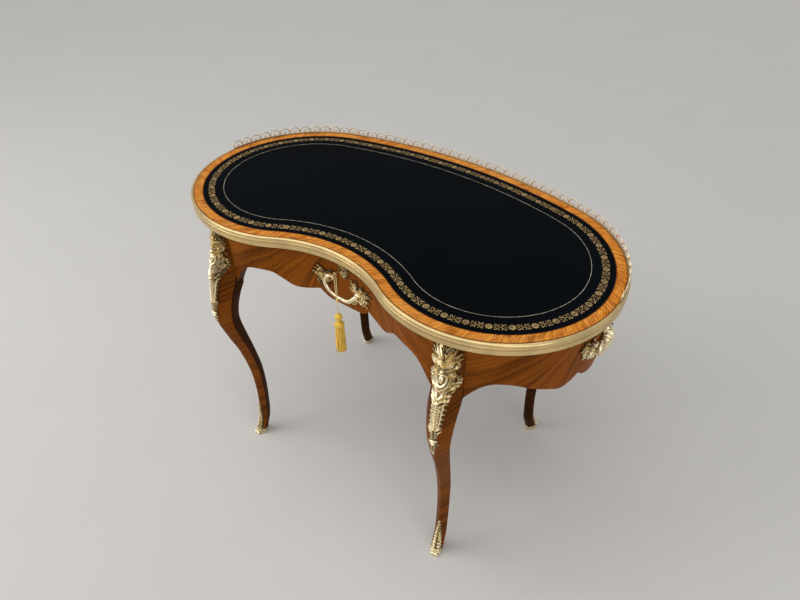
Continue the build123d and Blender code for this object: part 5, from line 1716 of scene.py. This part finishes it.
def twisted_cord(name, route, replaced):
    """Silk cord of three twisted strands along its route, which ends in pieces."""
    radius = sizes().cord_radius
    line, length = even_line(cord_line(route), CORD_STEP)
    relief = Relief(None)
    depth_way = Vector((0, 1, 0))
    for strand in range(3):
        points = []
        for index, spot in enumerate(line):
            ahead = line[min(index + 1, len(line) - 1)] - line[max(index - 1, 0)]
            side_way = ahead.normalized().cross(depth_way)
            turn = math.tau * (index * CORD_STEP / CORD_PITCH + strand / 3)
            way = depth_way * math.cos(turn) + side_way * math.sin(turn)
            points.append(spot + way * radius * STRAND_OFFSET)
        relief.tube(points, radius * STRAND_RADIUS, 6)
    piece = settle(relief.piece(name), finish(silk_cord), "tassel", replaced, 60)


def turned(name, profile, sides, wobble=None):
    """Round piece about the tassel's axis; wobble gives the radius at a radius, a height and a turn."""
    depth = tassel_axis()

    def spot(column, row):
        radius, height = profile[row]
        turn = math.tau * column / sides
        if wobble:
            radius = wobble(radius, height, turn)
        return Vector((radius * math.cos(turn) * MM, depth + radius * math.sin(turn) * MM, height * MM))

    return grid(name, sides, len(profile) - 1, spot, lambda c, r: (c / sides, r), fill=True)


def bound(piece, replaced):
    """Bound silk piece of the tassel, settled."""
    return settle(piece, finish(silk_bound), "tassel", [replaced], 60)


def knot():
    """Knot wound round the loop's ends."""
    def wound(radius, height, turn):
        return radius * (1 + 0.03 * math.cos(14 * (turn + height * 0.11)))

    return bound(turned("silk_knot", KNOT_PROFILE, 20, wound), "tassel_knot")


def head():
    """Bound ball and neck."""
    turns = [math.radians(degrees) for degrees in range(16, 150, 9)]
    ball = [(HEAD_RADIUS * math.sin(turn), HEAD_HEIGHT + HEAD_RADIUS * math.cos(turn)) for turn in turns]

    def swirl(radius, height, turn):
        return radius * (1 + 0.045 * math.cos(18 * turn + height * 0.55))

    return bound(turned("silk_head", HEAD_TOP + ball + HEAD_NECK, 90, swirl), "tassel_head")


def ruff():
    """Ruff of twelve lobes above the skirt."""
    def lobes(radius, _, turn):
        return radius * (1 + 0.06 * math.cos(12 * turn) + 0.02 * math.cos(48 * turn))

    return bound(turned("silk_ruff", RUFF_PROFILE, 96, lobes), "tassel_ruff")


def threads(relief):
    """Rings of hanging threads, each a little wavy."""
    depth = tassel_axis()
    draw = random.Random(7)
    for count, top_radius, foot_radius in THREAD_RINGS:
        for index in range(count):
            turn = math.tau * (index + draw.uniform(-0.3, 0.3)) / count
            foot = THREAD_FOOT + draw.uniform(0, 3.2)
            sway = draw.uniform(-0.05, 0.05)
            points = []
            for step in range(7):
                share = step / 6
                radius = mixed(top_radius, foot_radius, share**0.8) + 0.35 * math.sin(6 * share + index)
                swung = turn + sway * math.sin(math.pi * share) + 0.02 * math.sin(5 * share + 2 * index)
                aside, out = radius * math.cos(swung) * MM, radius * math.sin(swung) * MM
                points.append(Vector((aside, depth + out, mixed(THREAD_TOP, foot, share) * MM)))
            relief.tube(points, THREAD_RADII, 6)


def skirt():
    """Skirt of threads about a core."""
    relief = Relief(None)
    threads(relief)
    # The core has no tone, so it takes the painted shade between the threads
    core = turned("core", CORE_PROFILE, 28)
    piece = joined([relief.piece("threads"), core], "silk_skirt")
    return settle(piece, finish(silk_threads), "tassel", ["tassel_skirt"], 60)


def tassel():
    """Silk tassel: knot, bound head, ruff and skirt of threads, hung from two cords."""
    loop_end = knot()
    strand_end = [head(), ruff(), skirt()]
    twisted_cord("silk_loop", LOOP_ROUTE, ["tassel_loop"])
    twisted_cord("silk_strand", STRAND_ROUTE, ["tassel_strand"])


# Carried-over parts of the frame
def frame_finishes():
    """Finishes of the frame's own parts that stay in sight."""
    by_slot = {"carcase_wood": carcase_wood, "steel": steel, "brass": brass, "kingwood": kingwood,
               "tulipwood": tulipwood, "leather": leather, "gilt_bronze": smooth_gilt, "silk": silk_bound}
    for entry in frame["record"]["subparts"]:
        for slot in frame["nodes"][entry["node"]].material_slots:
            slot.material = finish(by_slot[entry["material_slot"]])


# Stage, with the camera at the photograph's viewpoint
ROOM_LIGHT = 0.32
ROOM_SEEN = 0.8
SUN_ANGLE = 1.3
FLOOR_DROP = 0.0002
CAMERA_PLACE = (0.7752, -0.9782, 1.520)
CAMERA_FORWARD = (-0.4626, 0.6121, -0.6414)
CAMERA_RIGHT = (0.7986, 0.6019, -0.0016)
CAMERA_SHIFT = (-0.0085, 0.0105)
SENSOR_WIDTH = 36
LENS = 28.23


def floor():
    """Pale floor."""
    deselect()
    bpy.ops.mesh.primitive_plane_add(size=40, location=(0, 0, -FLOOR_DROP))
    piece = bpy.context.object
    piece.name = "floor"
    paint = Paint("pale_floor")
    speck = paint.noise(paint.place(), 3.0, 3.0)
    paint.set(Base_Color=paint.mix(speck, rgb(206, 203, 198), rgb(212, 209, 204)),
              Roughness=0.75 + 0.1 * speck)
    piece.data.materials.append(paint.material)


def room():
    """Dim room that is seen, and mirrored in the desk, as a bright one."""
    paint = Surroundings("room")
    seen = paint.node("LightPath", None, None, "Is Camera Ray")
    seen = seen + seen.other("Is Glossy Ray") + seen.other("Is Transmission Ray")
    paint.set(Color=rgb(226, 228, 232), Strength=ROOM_LIGHT + (ROOM_SEEN - ROOM_LIGHT) * seen)
    bpy.context.scene.world = paint.world


def lamp(data, place, target, power):
    """Lamp at a place that faces a target."""
    data.energy = power
    piece = bpy.data.objects.new(data.name, data)
    piece.location = place
    piece.rotation_mode = "QUATERNION"
    piece.rotation_quaternion = (Vector(target) - Vector(place)).to_track_quat("-Z", "Y")
    bpy.context.collection.objects.link(piece)


def lamps():
    """Wide soft light from the ceiling and two square lights either side."""
    ceiling = bpy.data.lights.new("ceiling", "SUN")
    ceiling.angle = SUN_ANGLE
    lamp(ceiling, (-0.8, -1.2, 3.2), (0, 0, 0), 1.5)
    for name, place, size, power in (
            ("window", (-2.6, -2.2, 2.4), 2.2, 45),
            ("fill", (2.8, -1.6, 1.8), 2.0, 22)):
        square = bpy.data.lights.new(name, "AREA")
        square.shape = "SQUARE"
        square.size = size
        lamp(square, place, (0, 0, 0.6), power)


def camera():
    """Camera at the photograph's viewpoint."""
    forward = Vector(CAMERA_FORWARD).normalized()
    right = Vector(CAMERA_RIGHT)
    right = (right - forward * right.dot(forward)).normalized()
    up = right.cross(forward)
    data = bpy.data.cameras.new("camera")
    data.sensor_width = SENSOR_WIDTH
    data.lens = LENS
    data.shift_x, data.shift_y = CAMERA_SHIFT
    data.clip_start = 0.05
    piece = bpy.data.objects.new("camera", data)
    turn = Matrix((right, up, -forward)).transposed().to_4x4()
    piece.matrix_world = Matrix.Translation(CAMERA_PLACE) @ turn
    bpy.context.collection.objects.link(piece)
    bpy.context.scene.camera = piece


def stage():
    """Floor, surroundings, lights and camera."""
    floor()
    room()
    lamps()
    camera()
    bpy.context.scene.view_settings.view_transform = "Standard"


# Operators, one for each piece or group of like pieces
class DESK_OT_stage(bpy.types.Operator):
    """Floor, lights and camera"""

    bl_idname = "desk.stage"
    bl_label = "Stage"

    def execute(self, context):
        stage()
        return {"FINISHED"}


class DESK_OT_frame_finishes(bpy.types.Operator):
    """Finishes of the frame's own parts"""

    bl_idname = "desk.frame_finishes"
    bl_label = "Frame finishes"

    def execute(self, context):
        frame_finishes()
        return {"FINISHED"}


class DESK_OT_tassel(bpy.types.Operator):
    """Silk tassel and its cords"""

    bl_idname = "desk.tassel"
    bl_label = "Tassel"

    def execute(self, context):
        tassel()
        return {"FINISHED"}


class DESK_OT_crossband(bpy.types.Operator):
    """Crossbanded border of the top"""

    bl_idname = "desk.crossband"
    bl_label = "Crossband"

    def execute(self, context):
        crossband()
        return {"FINISHED"}


class DESK_OT_leather(bpy.types.Operator):
    """Writing leather"""

    bl_idname = "desk.leather"
    bl_label = "Leather"

    def execute(self, context):
        leather_field()
        return {"FINISHED"}


class DESK_OT_gold_line(bpy.types.Operator):
    """Thin gold line on the leather"""

    bl_idname = "desk.gold_line"
    bl_label = "Gold line"

    def execute(self, context):
        tooling_line()
        return {"FINISHED"}


class DESK_OT_tooling(bpy.types.Operator):
    """Gilt rosettes and scrolls on the leather"""

    bl_idname = "desk.tooling"
    bl_label = "Tooling"

    def execute(self, context):
        tooled_band()
        return {"FINISHED"}


class DESK_OT_moulding(bpy.types.Operator):
    """Brass edge moulding"""

    bl_idname = "desk.moulding"
    bl_label = "Moulding"

    def execute(self, context):
        moulding()
        return {"FINISHED"}


class DESK_OT_gallery(bpy.types.Operator):
    """Pierced brass gallery"""

    bl_idname = "desk.gallery"
    bl_label = "Gallery"

    def execute(self, context):
        gallery()
        return {"FINISHED"}


class DESK_OT_aprons(bpy.types.Operator):
    """Veneered aprons"""

    bl_idname = "desk.aprons"
    bl_label = "Aprons"

    def execute(self, context):
        all_aprons()
        return {"FINISHED"}


class DESK_OT_drawer_face(bpy.types.Operator):
    """Veneered drawer front"""

    bl_idname = "desk.drawer_face"
    bl_label = "Drawer front"

    def execute(self, context):
        drawer_face()
        return {"FINISHED"}


class DESK_OT_legs(bpy.types.Operator):
    """Veneered cabriole legs"""

    bl_idname = "desk.legs"
    bl_label = "Legs"

    def execute(self, context):
        all_legs()
        return {"FINISHED"}


class DESK_OT_knee_mounts(bpy.types.Operator):
    """Gilt mounts of the knees"""

    bl_idname = "desk.knee_mounts"
    bl_label = "Knee mounts"

    def execute(self, context):
        all_knee_mounts()
        return {"FINISHED"}


class DESK_OT_sabots(bpy.types.Operator):
    """Gilt shoes of the feet"""

    bl_idname = "desk.sabots"
    bl_label = "Sabots"

    def execute(self, context):
        all_sabots()
        return {"FINISHED"}


class DESK_OT_handles(bpy.types.Operator):
    """Gilt handles"""

    bl_idname = "desk.handles"
    bl_label = "Handles"

    def execute(self, context):
        all_handles()
        return {"FINISHED"}


class DESK_OT_escutcheon(bpy.types.Operator):
    """Gilt keyhole plate"""

    bl_idname = "desk.escutcheon"
    bl_label = "Escutcheon"

    def execute(self, context):
        escutcheon()
        return {"FINISHED"}


OPERATORS = (
    DESK_OT_stage, DESK_OT_frame_finishes, DESK_OT_tassel, DESK_OT_crossband,
    DESK_OT_leather, DESK_OT_gold_line, DESK_OT_tooling, DESK_OT_moulding,
    DESK_OT_gallery, DESK_OT_aprons, DESK_OT_drawer_face, DESK_OT_legs,
    DESK_OT_knee_mounts, DESK_OT_sabots, DESK_OT_handles, DESK_OT_escutcheon)


class DESK_PT_panel(bpy.types.Panel):
    """Panel that lists the desk's pieces."""

    bl_label = "Kidney Desk"
    bl_idname = "DESK_PT_panel"
    bl_space_type = "VIEW_3D"
    bl_region_type = "UI"
    bl_category = "Desk"

    def draw(self, context):
        for made in OPERATORS:
            self.layout.operator(made.bl_idname)
        for group in (context.scene.desk_sizes, context.scene.desk_colours):
            for name in group.bl_rna.properties.keys():
                if name not in ("rna_type", "name"):
                    self.layout.prop(group, name)


CLASSES = (DeskColours, DeskSizes, *OPERATORS, DESK_PT_panel)


def register():
    """Register the classes and their settings."""
    for made in CLASSES:
        bpy.utils.register_class(made)
    bpy.types.Scene.desk_colours = bpy.props.PointerProperty(type=DeskColours)
    bpy.types.Scene.desk_sizes = bpy.props.PointerProperty(type=DeskSizes)


def unregister():
    """Take the classes and settings away."""
    del bpy.types.Scene.desk_colours
    del bpy.types.Scene.desk_sizes
    for made in reversed(CLASSES):
        bpy.utils.unregister_class(made)


def main():
    """Make every piece in order."""
    register()
    for made in OPERATORS:
        getattr(bpy.ops.desk, made.bl_idname.split(".")[1])()


if __name__ == "__main__":
    main()
